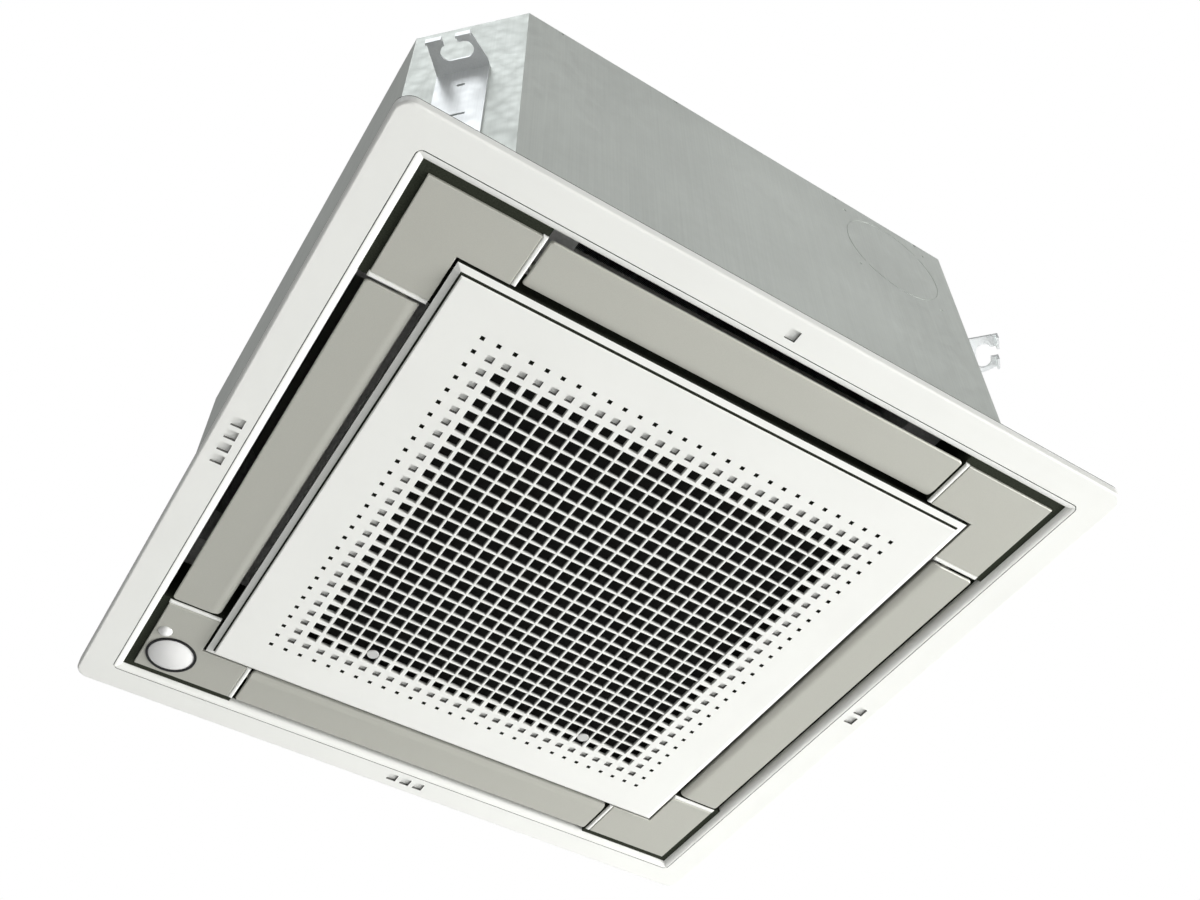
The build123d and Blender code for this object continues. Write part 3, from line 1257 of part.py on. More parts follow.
with BuildPart() as drain_socket:
    with BuildSketch(Plane.YZ.offset(BODY_HALF)):
        with Locations(DRAIN_AT):
            Circle(DRAIN_R)
    extrude(amount=DRAIN_END - BODY_HALF)
    with BuildSketch(Plane.YZ.offset(BODY_HALF + PLATE_OUT)):
        with Locations(DRAIN_AT):
            Circle(DRAIN_FLANGE)
    extrude(amount=DRAIN_FLANGE_THICK)
    with BuildSketch(Plane.YZ.offset(BODY_HALF)):
        with Locations(DRAIN_AT):
            Circle(DRAIN_BORE)
    extrude(amount=DRAIN_END - BODY_HALF, mode=Mode.SUBTRACT)
keep(drain_socket, "drain_socket")

with BuildPart() as drain_hose:
    with BuildLine() as hose_route:
        FilletPolyline(
            (*PUMP_SPIGOT, PUMP_TOP),
            (*PUMP_SPIGOT, DRAIN_AT[1]),
            (BODY_HALF - HOSE_TURN, DRAIN_AT[0], DRAIN_AT[1]),
            (BODY_HALF + HOSE_OUT, DRAIN_AT[0], DRAIN_AT[1]),
            radius=HOSE_BEND,
        )
    with BuildSketch(Plane.XY.offset(PUMP_TOP)):
        with Locations(PUMP_SPIGOT):
            Circle(HOSE)
            Circle(HOSE_BORE, mode=Mode.SUBTRACT)
    sweep(path=hose_route.wires()[0])
keep(drain_hose, "drain_hose")

with BuildPart() as drain_pump:
    with BuildSketch(Plane.XY.offset(PAN_TOP)):
        with Locations(PUMP_AT):
            Circle(PUMP_R)
    extrude(amount=PUMP_TOP - PAN_TOP)
    with BuildSketch(Plane.XY.offset(PAN_TOP)):
        with Locations((SUMP[0], PUMP_AT[1])):
            Rectangle(2 * (SUMP_HALF + PUMP_FOOT), PUMP_FOOT_WIDE)
    extrude(amount=PUMP_FOOT_TALL)
    with BuildSketch(Plane.XY.offset(PAN_TOP - PUMP_NOZZLE_LONG)):
        with Locations(PUMP_AT):
            Circle(PUMP_NOZZLE)
    extrude(amount=PUMP_NOZZLE_LONG)
    with BuildSketch(Plane.XY.offset(PUMP_TOP)):
        with Locations(PUMP_SPIGOT):
            Circle(PUMP_SPIGOT_R)
    extrude(amount=PUMP_SPIGOT_LONG)
keep(drain_pump, "drain_pump")

STEM_OFF = (18.0, 22.0)
STEM_AT = (SUMP[0] - STEM_OFF[0], SUMP[1] + STEM_OFF[1])
STEM = 3.0
STEM_LONG = 64.0
STEM_STOP = 5.0
STEM_STOP_RISE = 5.0
STEM_STOP_LOW = SUMP_LOW + STEM_STOP_RISE
STEM_STOP_TALL = 2.0
FLOAT_R = 8.0
FLOAT_TALL = 12.0
FLOAT_RISE = 8.0
float_low = STEM_STOP_LOW + STEM_STOP_TALL

with BuildPart() as float_switch_stem:
    with BuildSketch(Plane.XY.offset(SUMP_LOW)):
        with Locations(STEM_AT):
            Circle(STEM)
    extrude(amount=STEM_LONG)
    for low in (STEM_STOP_LOW, float_low + FLOAT_TALL + FLOAT_RISE + CLEAR):
        with BuildSketch(Plane.XY.offset(low)):
            with Locations(STEM_AT):
                Circle(STEM_STOP)
        extrude(amount=STEM_STOP_TALL)
keep(float_switch_stem, "float_switch_stem")

with BuildPart() as float_ring:
    with BuildSketch(Plane.XY.offset(float_low)):
        with Locations(STEM_AT):
            Circle(FLOAT_R)
            Circle(STEM + 2 * RUNNING, mode=Mode.SUBTRACT)
    extrude(amount=FLOAT_TALL)
keep(float_ring, "float_ring")

# ---------------------------------------------------------------- control box
BOX_GAP = 4.0
BOX_IN = THROAT + MOUTH_RADIUS + MOUTH_FLANGE + BOX_GAP
BOX_OUT = RING_INNER - BOX_GAP
BOX_WIDE = BOX_OUT - BOX_IN
BOX_HALF_LONG = 130.0
BOX_LOW = 8.0
BOX_SKIN = 1.2
COVER_FLANGE = 3.0
GROMMET_Z = (15.6, 30.2)
GROMMET_R = 5.0
GROMMET_BORE = 3.0
GROMMET_LIP = 2.0
GROMMET_LIP_THICK = 1.5
BOARD = 1.6
BOARD_Z = 32.0
BOARD_HALF_LONG = 92.0
BOARD_Y = 25.0
BOARD_GAP = 3.0
SPACER = 5.0
SPACER_IN = 4.0
# components on the board: place along it, share of the box's width, length and height
COMPONENTS = ((90.0, 0.57, 34.0, 16.0), (45.0, 0.41, 20.0, 12.0), (5.0, 0.61, 16.0, 9.0),
              (-40.0, 0.29, 30.0, 14.0))
TERMINAL_IN = 26.0
TERMINAL_SHARE = 0.45
TERMINAL_LONG = 40.0
TERMINAL_TALL = 14.0
TERMINAL_SLOT_DEEP = 6.0
TERMINAL_SLOT = 5.0
TERMINAL_PITCH = 8.0
TERMINAL_SLOTS = 4
box_middle = (BOX_IN + BOX_OUT) / 2


def box_rectangle(inset, mode=Mode.ADD):
    """Plan of the control box, drawn in by an inset."""
    with Locations((box_middle, 0)):
        Rectangle(BOX_WIDE - 2 * inset, 2 * (BOX_HALF_LONG - inset), mode=mode)


with BuildPart() as control_box:
    with BuildSketch(Plane.XY.offset(BOX_LOW)):
        box_rectangle(0)
    extrude(amount=PAN_LOW - BOX_LOW)
    with BuildSketch(Plane.XY.offset(BOX_LOW)):
        box_rectangle(BOX_SKIN)
    extrude(amount=PAN_LOW - BOX_LOW - BOX_SKIN, mode=Mode.SUBTRACT)
    with BuildSketch(Plane.XZ.offset(-BOX_HALF_LONG)):
        for z in GROMMET_Z:
            with Locations((box_middle, z)):
                Circle(GROMMET_R)
    extrude(amount=BOX_SKIN, mode=Mode.SUBTRACT)
keep(control_box, "control_box")

with BuildPart() as control_box_cover:
    with BuildSketch(Plane.XY.offset(BOX_LOW - BOX_SKIN)):
        box_rectangle(0)
    extrude(amount=BOX_SKIN)
    with BuildSketch(Plane.XY.offset(BOX_LOW)):
        box_rectangle(BOX_SKIN + CLEAR)
        box_rectangle(2 * BOX_SKIN + CLEAR, Mode.SUBTRACT)
    extrude(amount=COVER_FLANGE)
keep(control_box_cover, "control_box_cover")

with BuildPart() as control_board:
    with BuildSketch(Plane.XY.offset(BOARD_Z)):
        with Locations((box_middle, BOARD_Y)):
            Rectangle(BOX_WIDE - 2 * BOARD_GAP, 2 * BOARD_HALF_LONG)
    extrude(amount=BOARD)
    with BuildSketch(Plane.XY.offset(BOARD_Z + BOARD)):
        with Locations((box_middle, BOARD_Y)):
            spacers_wide = BOX_WIDE - 2 * (BOARD_GAP + SPACER_IN)
            spacers_long = 2 * (BOARD_HALF_LONG - BOARD_GAP - SPACER_IN)
            with GridLocations(spacers_wide, spacers_long, 2, 2):
                Rectangle(SPACER, SPACER)
    extrude(amount=PAN_LOW - BOX_SKIN - BOARD_Z - BOARD)
    for y, share, long, tall in COMPONENTS:
        with BuildSketch(Plane.XY.offset(BOARD_Z - tall)):
            with Locations((box_middle, y)):
                Rectangle(share * BOX_WIDE, long)
        extrude(amount=tall)
keep(control_board, "control_board")

terminal_low = PAN_LOW - BOX_SKIN - TERMINAL_TALL
terminal_wide = TERMINAL_SHARE * BOX_WIDE
terminal_at = (box_middle, TERMINAL_IN - BOX_HALF_LONG)
with BuildPart() as terminal_block:
    with BuildSketch(Plane.XY.offset(terminal_low)):
        with Locations(terminal_at):
            Rectangle(terminal_wide, TERMINAL_LONG)
    extrude(amount=TERMINAL_TALL)
    with BuildSketch(Plane.XY.offset(terminal_low)):
        with Locations(terminal_at):
            with GridLocations(0, TERMINAL_PITCH, 1, TERMINAL_SLOTS):
                Rectangle(terminal_wide / 2, TERMINAL_SLOT)
    extrude(amount=TERMINAL_SLOT_DEEP, mode=Mode.SUBTRACT)
keep(terminal_block, "terminal_block")

with BuildPart() as wire_grommets:
    for start, radius, thick in (
        (BOX_HALF_LONG + GROMMET_LIP_THICK, GROMMET_R + GROMMET_LIP, GROMMET_LIP_THICK),
        (BOX_HALF_LONG, GROMMET_R - RUNNING, BOX_SKIN),
    ):
        with BuildSketch(Plane.XZ.offset(-start)):
            for z in GROMMET_Z:
                with Locations((box_middle, z)):
                    Circle(radius)
                    Circle(GROMMET_BORE, mode=Mode.SUBTRACT)
        extrude(amount=thick)
keep(wire_grommets, "wire_grommets")

THERMISTOR_IN = (41.0, 59.0)
THERMISTOR = (THERMISTOR_IN[0] - RING_INNER, RING_INNER - THERMISTOR_IN[1])
THERMISTOR_CLIP = (9.0, 26.0, 8.0)
THERMISTOR_R = 2.5
THERMISTOR_DROP = 4.5
THERMISTOR_LONG = 10.0
with BuildPart() as air_thermistor:
    with BuildSketch(Plane.XY.offset(PAN_LOW - THERMISTOR_CLIP[2])):
        with Locations(THERMISTOR):
            Rectangle(THERMISTOR_CLIP[0], THERMISTOR_CLIP[1])
    extrude(amount=THERMISTOR_CLIP[2])
    with BuildSketch(Plane.XZ.offset(-THERMISTOR[1] - THERMISTOR_CLIP[1] / 2)):
        with Locations((THERMISTOR[0], PAN_LOW - THERMISTOR_DROP)):
            Circle(THERMISTOR_R)
    extrude(amount=-THERMISTOR_LONG)
keep(air_thermistor, "air_thermistor")
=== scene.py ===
"""Looks of a ceiling cassette air conditioner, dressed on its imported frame.

The frame's origin is the centre of the ceiling plane and +Z is up, in metres. The front side
(-Y) has one square mark, the left side (-X) four. The photograph looks up from below.
"""

import json
from math import cos, pi, radians, sin

import bmesh
import bpy
from mathutils import Matrix, Vector


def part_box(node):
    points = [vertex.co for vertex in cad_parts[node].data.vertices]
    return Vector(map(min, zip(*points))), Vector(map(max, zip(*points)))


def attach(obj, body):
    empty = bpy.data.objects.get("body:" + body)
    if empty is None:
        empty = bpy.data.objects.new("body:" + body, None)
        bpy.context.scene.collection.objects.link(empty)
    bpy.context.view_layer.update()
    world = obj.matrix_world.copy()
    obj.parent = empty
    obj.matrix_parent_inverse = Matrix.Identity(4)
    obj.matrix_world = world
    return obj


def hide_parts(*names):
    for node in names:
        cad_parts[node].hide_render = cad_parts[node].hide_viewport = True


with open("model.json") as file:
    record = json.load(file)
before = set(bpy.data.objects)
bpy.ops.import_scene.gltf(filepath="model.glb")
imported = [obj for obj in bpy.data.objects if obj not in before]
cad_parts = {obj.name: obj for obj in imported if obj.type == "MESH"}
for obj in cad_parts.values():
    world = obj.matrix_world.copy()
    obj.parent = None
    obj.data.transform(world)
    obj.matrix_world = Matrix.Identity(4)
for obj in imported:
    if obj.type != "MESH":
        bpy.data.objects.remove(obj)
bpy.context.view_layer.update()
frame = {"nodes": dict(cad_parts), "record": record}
nodes = frame["nodes"]
MM = 0.001


# ---------------------------------------------------------------- materials
PANEL_WHITE = (0.84, 0.845, 0.805)
LIGHT_HEIGHT, DARK_HEIGHT = -0.0120, -0.0096    # the lattice's painted shade darkens between these
RAMP_LOW, RAMP_HIGH = 0.3, 0.7                  # where a texture gives the low and high tint
FIN_PITCH = 0.0016
NET_PITCH = 0.0010
WAVE_LENGTH = 0.314             # a wave texture of scale 1 repeats after this


class Material:
    """A node material with a Principled shader and short calls to texture it."""

    def __init__(self, name, color, roughness, metallic=0.0, specular=0.5):
        self.material = bpy.data.materials.new(name)
        self.material.use_nodes = True
        self.tree = self.material.node_tree
        self.shader = self.tree.nodes["Principled BSDF"]
        self.color = (*color, 1.0)
        self.shader.inputs["Base Color"].default_value = self.color
        self.shader.inputs["Roughness"].default_value = roughness
        self.shader.inputs["Metallic"].default_value = metallic
        self.shader.inputs["Specular IOR Level"].default_value = specular
        self.place = self.tree.nodes.new("ShaderNodeTexCoord").outputs["Object"]
        self.bump = None

    def node(self, kind, **values):
        made = self.tree.nodes.new(kind)
        for key, value in values.items():
            made.inputs[key.replace("_", " ")].default_value = value
        return made

    def link(self, start, end):
        self.tree.links.new(start, end)

    def stretched(self, scale):
        """Object coordinates times a scale along each axis."""
        mapping = self.node("ShaderNodeMapping", Scale=scale)
        self.link(self.place, mapping.inputs["Vector"])
        return mapping.outputs["Vector"]

    def noise(self, scale, detail=2.0, place=None):
        texture = self.node("ShaderNodeTexNoise", Scale=scale, Detail=detail)
        self.link(place or self.place, texture.inputs["Vector"])
        return texture.outputs["Fac"]

    def vary_color(self, source, low, high):
        """Base colour between two tints, by a texture."""
        ramp = self.tree.nodes.new("ShaderNodeValToRGB")
        ramp.color_ramp.elements[0].position = RAMP_LOW
        ramp.color_ramp.elements[1].position = RAMP_HIGH
        ramp.color_ramp.elements[0].color = tuple(c * low for c in self.color[:3]) + (1.0,)
        ramp.color_ramp.elements[1].color = tuple(c * high for c in self.color[:3]) + (1.0,)
        self.link(source, ramp.inputs["Fac"])
        self.link(ramp.outputs["Color"], self.shader.inputs["Base Color"])

    def vary_roughness(self, source, low, high):
        spread = self.node("ShaderNodeMapRange", To_Min=low, To_Max=high)
        self.link(source, spread.inputs["Value"])
        self.link(spread.outputs["Result"], self.shader.inputs["Roughness"])

    def add_bump(self, source, depth, strength=1.0):
        bump = self.node("ShaderNodeBump", Distance=depth, Strength=strength)
        self.link(source, bump.inputs["Height"])
        if self.bump:
            self.link(self.bump.outputs["Normal"], bump.inputs["Normal"])
        self.bump = bump
        self.link(bump.outputs["Normal"], self.shader.inputs["Normal"])


def moulded(name, color, roughness, grain=0.00003):
    """Injection-moulded plastic: a fine grain and slightly uneven gloss."""
    made = Material(name, color, roughness)
    made.vary_color(made.noise(14.0, 3.0), 0.985, 1.01)
    made.vary_roughness(made.noise(60.0, 3.0), roughness - 0.05, roughness + 0.05)
    made.add_bump(made.noise(1600.0, 2.0), grain)
    return made.material


def lattice_painted_shade():
    """The panel's plastic, darkened from the lattice's front to its back.

    The tint stands in for the shade between the bars, which these lamps don't give.
    """
    made = Material("lattice_painted_shade", PANEL_WHITE, 0.42)
    height = made.node("ShaderNodeSeparateXYZ")
    made.link(made.place, height.inputs["Vector"])
    depth = made.node("ShaderNodeMapRange", From_Min=DARK_HEIGHT, From_Max=LIGHT_HEIGHT,
                      To_Min=RAMP_LOW, To_Max=RAMP_HIGH)
    made.link(height.outputs["Z"], depth.inputs["Value"])
    made.vary_color(depth.outputs["Result"], 0.05, 1.0)
    made.add_bump(made.noise(1600.0, 2.0), 0.00003)
    return made.material


def felt_and_painted_shade():
    """Dark felt that lines the air ducts; the same material also serves as painted shade in gaps
    and small holes.
    """
    made = Material("felt_and_painted_shade", (0.030, 0.034, 0.024), 0.95, specular=0.1)
    made.vary_color(made.noise(900.0, 3.0), 0.7, 1.3)
    made.add_bump(made.noise(1500.0, 2.0), 0.0002)
    return made.material


def silver_paint():
    """Satin metallic paint on plastic, with a fine flake."""
    made = Material("silver_paint", (0.55, 0.55, 0.49), 0.42, metallic=0.35)
    made.vary_color(made.noise(2600.0, 1.0), 0.95, 1.05)
    made.vary_roughness(made.noise(40.0, 2.0), 0.38, 0.46)
    made.add_bump(made.noise(1900.0, 2.0), 0.00002)
    return made.material


def galvanised(name, color, roughness, streak_axis=2):
    """Zinc-coated sheet: soft spangle, fine streaks from the rolls and a few dull patches."""
    made = Material(name, color, roughness, metallic=0.75)
    stretch = [700.0, 700.0, 700.0]
    stretch[streak_axis] = 9.0
    streaks = made.noise(1.0, 4.0, made.stretched(stretch))
    spangle = made.node("ShaderNodeTexVoronoi", Scale=95.0)
    made.link(made.place, spangle.inputs["Vector"])
    patches = made.noise(7.0, 4.0)
    mixed = made.node("ShaderNodeMath")
    mixed.operation = "MULTIPLY_ADD"
    made.link(streaks, mixed.inputs[0])
    mixed.inputs[1].default_value = 0.55
    made.link(patches, mixed.inputs[2])
    shifted = made.node("ShaderNodeMath")
    shifted.operation = "MULTIPLY"
    made.link(mixed.outputs["Value"], shifted.inputs[0])
    shifted.inputs[1].default_value = 0.64
    made.vary_color(shifted.outputs["Value"], 0.90, 1.08)
    made.vary_roughness(spangle.outputs["Distance"], roughness - 0.06, roughness + 0.10)
    made.add_bump(streaks, 0.00004)
    return made.material


def metal(name, color, roughness, scratch=0.00002):
    """Plain machined or drawn metal with fine marks."""
    made = Material(name, color, roughness, metallic=1.0)
    made.vary_color(made.noise(120.0, 4.0), 0.9, 1.06)
    made.vary_roughness(made.noise(300.0, 3.0), roughness - 0.07, roughness + 0.1)
    made.add_bump(made.noise(900.0, 2.0), scratch)
    return made.material


def foam():
    """Expanded foam, with beads a few millimetres across."""
    made = Material("foam", (0.80, 0.80, 0.78), 0.85, specular=0.2)
    beads = made.node("ShaderNodeTexVoronoi", Scale=300.0)
    made.link(made.place, beads.inputs["Vector"])
    made.vary_color(beads.outputs["Distance"], 1.03, 0.93)
    made.add_bump(beads.outputs["Distance"], 0.0004)
    return made.material


def fins():
    """Edges of thin aluminium fins, 1.6 mm apart, seen from the side."""
    made = Material("fin_aluminium", (0.62, 0.65, 0.67), 0.4, metallic=0.8)
    wave = made.node("ShaderNodeTexWave", Scale=WAVE_LENGTH / FIN_PITCH)
    wave.wave_type = "BANDS"
    wave.bands_direction = "DIAGONAL"
    made.link(made.place, wave.inputs["Vector"])
    # the dark bands are painted shade in the slots between the fins
    made.vary_color(wave.outputs["Fac"], 0.25, 1.1)
    made.add_bump(wave.outputs["Fac"], 0.0006)
    return made.material


def filter_net():
    """Dark woven net of the air filter, about ten threads to the centimetre."""
    made = Material("filter_net", (0.013, 0.013, 0.012), 0.8, specular=0.15)
    threads = []
    for axis in ("X", "Y"):
        wave = made.node("ShaderNodeTexWave", Scale=WAVE_LENGTH / NET_PITCH)
        wave.bands_direction = axis
        made.link(made.place, wave.inputs["Vector"])
        threads.append(wave.outputs["Fac"])
    weave = made.node("ShaderNodeMath")
    weave.operation = "MAXIMUM"
    made.link(threads[0], weave.inputs[0])
    made.link(threads[1], weave.inputs[1])
    made.vary_color(weave.outputs["Value"], 0.35, 1.5)
    made.add_bump(weave.outputs["Value"], 0.0003)
    return made.material


def lens(name, color):
    """Milky sensor window under a clear gloss."""
    made = Material(name, color, 0.16)
    made.shader.inputs["Coat Weight"].default_value = 0.6
    made.shader.inputs["Coat Roughness"].default_value = 0.05
    made.vary_color(made.noise(40.0, 2.0), 0.98, 1.02)
    made.add_bump(made.noise(200.0, 1.0), 0.00001)
    return made.material


def circuit_board():
    """Green lacquered board with tracks."""
    made = Material("circuit_board", (0.02, 0.11, 0.05), 0.3)
    tracks = made.node("ShaderNodeTexVoronoi", Scale=420.0)
    tracks.distance = "MANHATTAN"
    made.link(made.place, tracks.inputs["Vector"])
    made.vary_color(tracks.outputs["Distance"], 0.7, 1.6)
    made.add_bump(tracks.outputs["Distance"], 0.00005)
    return made.material


MATERIALS = {
    "panel_white": moulded("panel_white", PANEL_WHITE, 0.42),
    "silver_paint": silver_paint(),
    "filter_plastic": moulded("filter_plastic", (0.10, 0.105, 0.11), 0.5),
    "filter_net": filter_net(),
    "sensor_black": moulded("sensor_black", (0.012, 0.012, 0.013), 0.25, 0.00001),
    "sensor_lens": lens("sensor_lens", (0.80, 0.80, 0.78)),
    "galvanised_sheet": galvanised("galvanised_sheet", (0.60, 0.63, 0.595), 0.45),
    "bracket_steel": galvanised("bracket_steel", (0.80, 0.82, 0.82), 0.36),
    "foam": foam(),
    "fan_plastic": moulded("fan_plastic", (0.16, 0.165, 0.17), 0.45),
    "motor_steel": moulded("motor_steel", (0.09, 0.09, 0.095), 0.4),
    "black_rubber": moulded("black_rubber", (0.02, 0.02, 0.02), 0.75, 0.00006),
    "fin_aluminium": fins(),
    "copper": metal("copper", (0.83, 0.42, 0.26), 0.28),
    "brass": metal("brass", (0.80, 0.62, 0.30), 0.25),
    "grey_plastic": moulded("grey_plastic", (0.42, 0.43, 0.43), 0.45),
    "clear_hose": moulded("clear_hose", (0.52, 0.54, 0.54), 0.35),
    "circuit_board": circuit_board(),
    "black_plastic": moulded("black_plastic", (0.02, 0.02, 0.022), 0.4),
    "knob_grey": moulded("knob_grey", (0.56, 0.565, 0.545), 0.4),
    "felt_and_painted_shade": felt_and_painted_shade(),
    "lattice_painted_shade": lattice_painted_shade(),
    # dark grey that paints the shade on the walls of the marks and pits
    "recess_painted_shade": moulded("recess_painted_shade", (0.15, 0.15, 0.14), 0.6),
    # dark grey that paints the shade in the groove line
    "groove_painted_shade": moulded("groove_painted_shade", (0.06, 0.06, 0.055), 0.6),
}

for part in frame["record"]["subparts"]:
    mesh = nodes[part["node"]].data
    mesh.materials.clear()
    mesh.materials.append(MATERIALS[part["material_slot"]])


def piece(name, mesh_data, slot, body, look=None):
    """New visible piece from a bmesh, with its material, on a body."""
    mesh = bpy.data.meshes.new(name)
    mesh_data.to_mesh(mesh)
    mesh_data.free()
    mesh.materials.append(MATERIALS[look or slot])
    made = bpy.data.objects.new(name, mesh)
    bpy.context.scene.collection.objects.link(made)
    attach(made, body)
    return made


# ---------------------------------------------------------------- panel frame and flaps
OUTWARD = {"front": (0, -1), "right": (1, 0), "back": (0, 1), "left": (-1, 0)}


def across(point):
    """Distance of a point from the centre, square to the nearest side, in millimetres."""
    return max(abs(point.x), abs(point.y)) / MM


def dressed(node, body, slot, shape, others=(), look=None, cuts=()):
    """Copy of a CAD node's mesh that stands for it, with its corners and faces set anew.

    cuts are planes (point, normal) that divide its faces first. shape(mesh) moves corners and
    gives faces the number of a material: 0 is its own, and the others follow.
    """
    mesh = bmesh.new()
    mesh.from_mesh(nodes[node].data)
    for point, normal in cuts:
        everything = mesh.verts[:] + mesh.edges[:] + mesh.faces[:]
        bmesh.ops.bisect_plane(mesh, geom=everything, plane_co=[c * MM for c in point],
                               plane_no=normal)
    shape(mesh)
    made = piece(node + "_dressed", mesh, slot, body, look)
    for name in others:
        made.data.materials.append(MATERIALS[name])
    if "custom_normal" in made.data.attributes:
        made.data.attributes.remove(made.data.attributes["custom_normal"])
    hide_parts(node)


OPENING = 277.35                # inner face of the panel's opening
FELT_FROM = -1.5                # the ducts' walls are dark above this height
DECK_FROM = -5.6                # floor of the corners, behind the covers
RIM_DARK_FROM = -0.7                # the rim is dark above this height
MARK_FLOOR, MARK_DEEP = -8.5, -7.0          # height in the CAD, and as drawn
GROOVE_FLOOR, GROOVE_DEEP = -8.2, -7.6
RIM_FACE = -9.0
RIM_FROM = 281.0                # the rim lies outside this distance
RIB_PLACE = 181.0               # the corners lie outside the ribs, from here
NEAR = 0.02                     # slack for comparing heights and distances


def frame_shape(mesh):
    """Deeper marks and groove line, both with painted shade, black felt in the ducts with painted
    shade in the corners, and a dark band on the rim's top.
    """
    for vertex in mesh.verts:
        height = vertex.co.z / MM
        if across(vertex.co) > RIM_FROM:
            if abs(height - MARK_FLOOR) < NEAR / 2:
                vertex.co.z = MARK_DEEP * MM
            elif abs(height - GROOVE_FLOOR) < NEAR / 2:
                vertex.co.z = GROOVE_DEEP * MM
    for face in mesh.faces:
        middle = face.calc_center_median()
        height = middle.z / MM
        heights = [round(vertex.co.z / MM, 2) for vertex in face.verts]
        corner = min(abs(middle.x), abs(middle.y)) / MM > RIB_PLACE
        if across(middle) < OPENING + NEAR:
            # at the corners the walls down to the deck are painted dark: painted shade in the gap
            # round the corner covers
            if height > FELT_FROM or (height > DECK_FROM and corner):
                face.material_index = 1
        elif across(middle) > RIM_FROM:
            # the rim's top above this height is drawn dark
            if height > RIM_DARK_FROM:
                face.material_index = 1
            # the groove line's walls and floor are painted dark as its shade
            elif set(heights) <= {RIM_FACE, GROOVE_DEEP} and GROOVE_DEEP in heights:
                face.material_index = 2
            # the marks' walls are painted dark as their shade
            elif set(heights) == {RIM_FACE, MARK_DEEP}:
                face.material_index = 3


dressed("panel_frame", "unit", "panel_white", frame_shape, ("felt_and_painted_shade", "groove_painted_shade", "recess_painted_shade"),
        cuts=(((0, 0, FELT_FROM), (0, 0, 1)), ((0, 0, RIM_DARK_FROM), (0, 0, 1))))

CURVE_FROM = 239.0              # the flaps' inner edges curve up from here
CURVE_RADIUS = 17.4
CURVE_CUTS = (239.0, 237.4, 235.8, 234.2, 232.6, 231.2)
FLAP_FACE = -5.4                # the flaps' lower faces lie below this height


def flap_shape(side):
    """The flap's inner edge curves up, away from the room."""
    outward = Vector((*OUTWARD[side], 0))

    def shape(mesh):
        for face in mesh.faces:
            if face.calc_center_median().dot(outward) / MM < CURVE_FROM:
                face.smooth = True
        for vertex in mesh.verts:
            inward = CURVE_FROM - vertex.co.dot(outward) / MM
            if inward > 0 and vertex.co.z / MM < FLAP_FACE:
                vertex.co.z += (CURVE_RADIUS - (CURVE_RADIUS ** 2 - inward ** 2) ** 0.5) * MM

    return shape


for side, (out_x, out_y) in OUTWARD.items():
    dressed("flap_" + side, side + "_flap", "silver_paint", flap_shape(side),
            cuts=[((out_x * cut, out_y * cut, 0), (out_x, out_y, 0)) for cut in CURVE_CUTS])


# ---------------------------------------------------------------- suction grille
HOLE_PITCH = 13.0
LATTICE_HOLE = 5.5              # half size of the lattice's holes
LAST_ROW = 11                   # the lattice's holes are in rows -11 to 11
EDGE_RING, EDGE_HOLE = 12, 4.5  # ring of smaller holes round the lattice, half size
PIT_RING, PIT_HALF = 13, 3.0    # ring of pits
DOT_RING, DOT_HALF = 14, 1.7    # ring of dots
PIT_DEEP = 2.3
PIT_FOOT, DOT_FOOT = 0.96, 0.9  # floor against mouth
HOLE_EDGE = 0.25                # soft edge of the smaller holes
KNOB_COLUMN = 8                 # the latches' knobs stand between the last two rows here
KNOB_RADIUS = 5.15
KNOB_PROUD = 0.15               # the caps stand this far proud of the CAD's knobs
KNOB_RINGS = ((0.0, 0.9), (0.0, 0.4), (0.15, 0.12), (0.5, 0.0))     # inset, height
KNOB_CORNERS = 32
PLATE_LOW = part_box("grille_face")[0].z / MM
PLATE_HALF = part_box("grille_face")[1].x / MM
PLATE_THICK = 3.2
PLATE_ROUND = 1.0               # radius of the outer edge
ROUND_ANGLES = (pi / 2, 3 * pi / 8, pi / 4, pi / 8, 0.0)
EDGE_TALL, EDGE_REBATE = 1.5, 2.5
BAR_RECESS, BAR_THICK = 0.6, 3.8
BAR_SOFT = 0.3                  # slope along the bars' lower edges
BAR_LAP = 0.5                   # the bars' ends reach this far into the plate
BAR_SHIFT = 0.03                # the bars along Y lie this far behind those along X
DEEP_FACE = 1.0                 # faces of pits and dots reach more than this behind the plate
AT_FACE = 0.1                   # and the walls start less than this behind its face
UPRIGHT = 0.1                   # upright faces have a normal with less height than this
SKIRT_EDGE = 225.0              # the skirt's outer wall lies outside this
SKIRT_DRAWN = 224.3
SKIRT_FLAT = -9.45


class Mesh:
    """A bmesh in millimetres whose corners are shared."""

    def __init__(self):
        self.data = bmesh.new()
        self.corners = {}

    def vertex(self, x, y, z):
        key = (round(x, 3), round(y, 3), round(z, 3))
        if key not in self.corners:
            self.corners[key] = self.data.verts.new((x * MM, y * MM, z * MM))
        return self.corners[key]

    def face(self, *points):
        corners = []
        for point in points:
            vertex = self.vertex(*point)
            if vertex not in corners:
                corners.append(vertex)
        if len(corners) > 2:
            self.data.faces.new(corners)

    def band(self, outer, inner, left_out=None):
        """Faces between two loops with the same number of corners."""
        for k in range(len(outer)):
            n = (k + 1) % len(outer)
            if k != left_out:
                self.face(outer[k], inner[k], inner[n], outer[n])


def rectangle(x0, x1, y0, y1, z):
    return [(x0, y0, z), (x1, y0, z), (x1, y1, z), (x0, y1, z)]


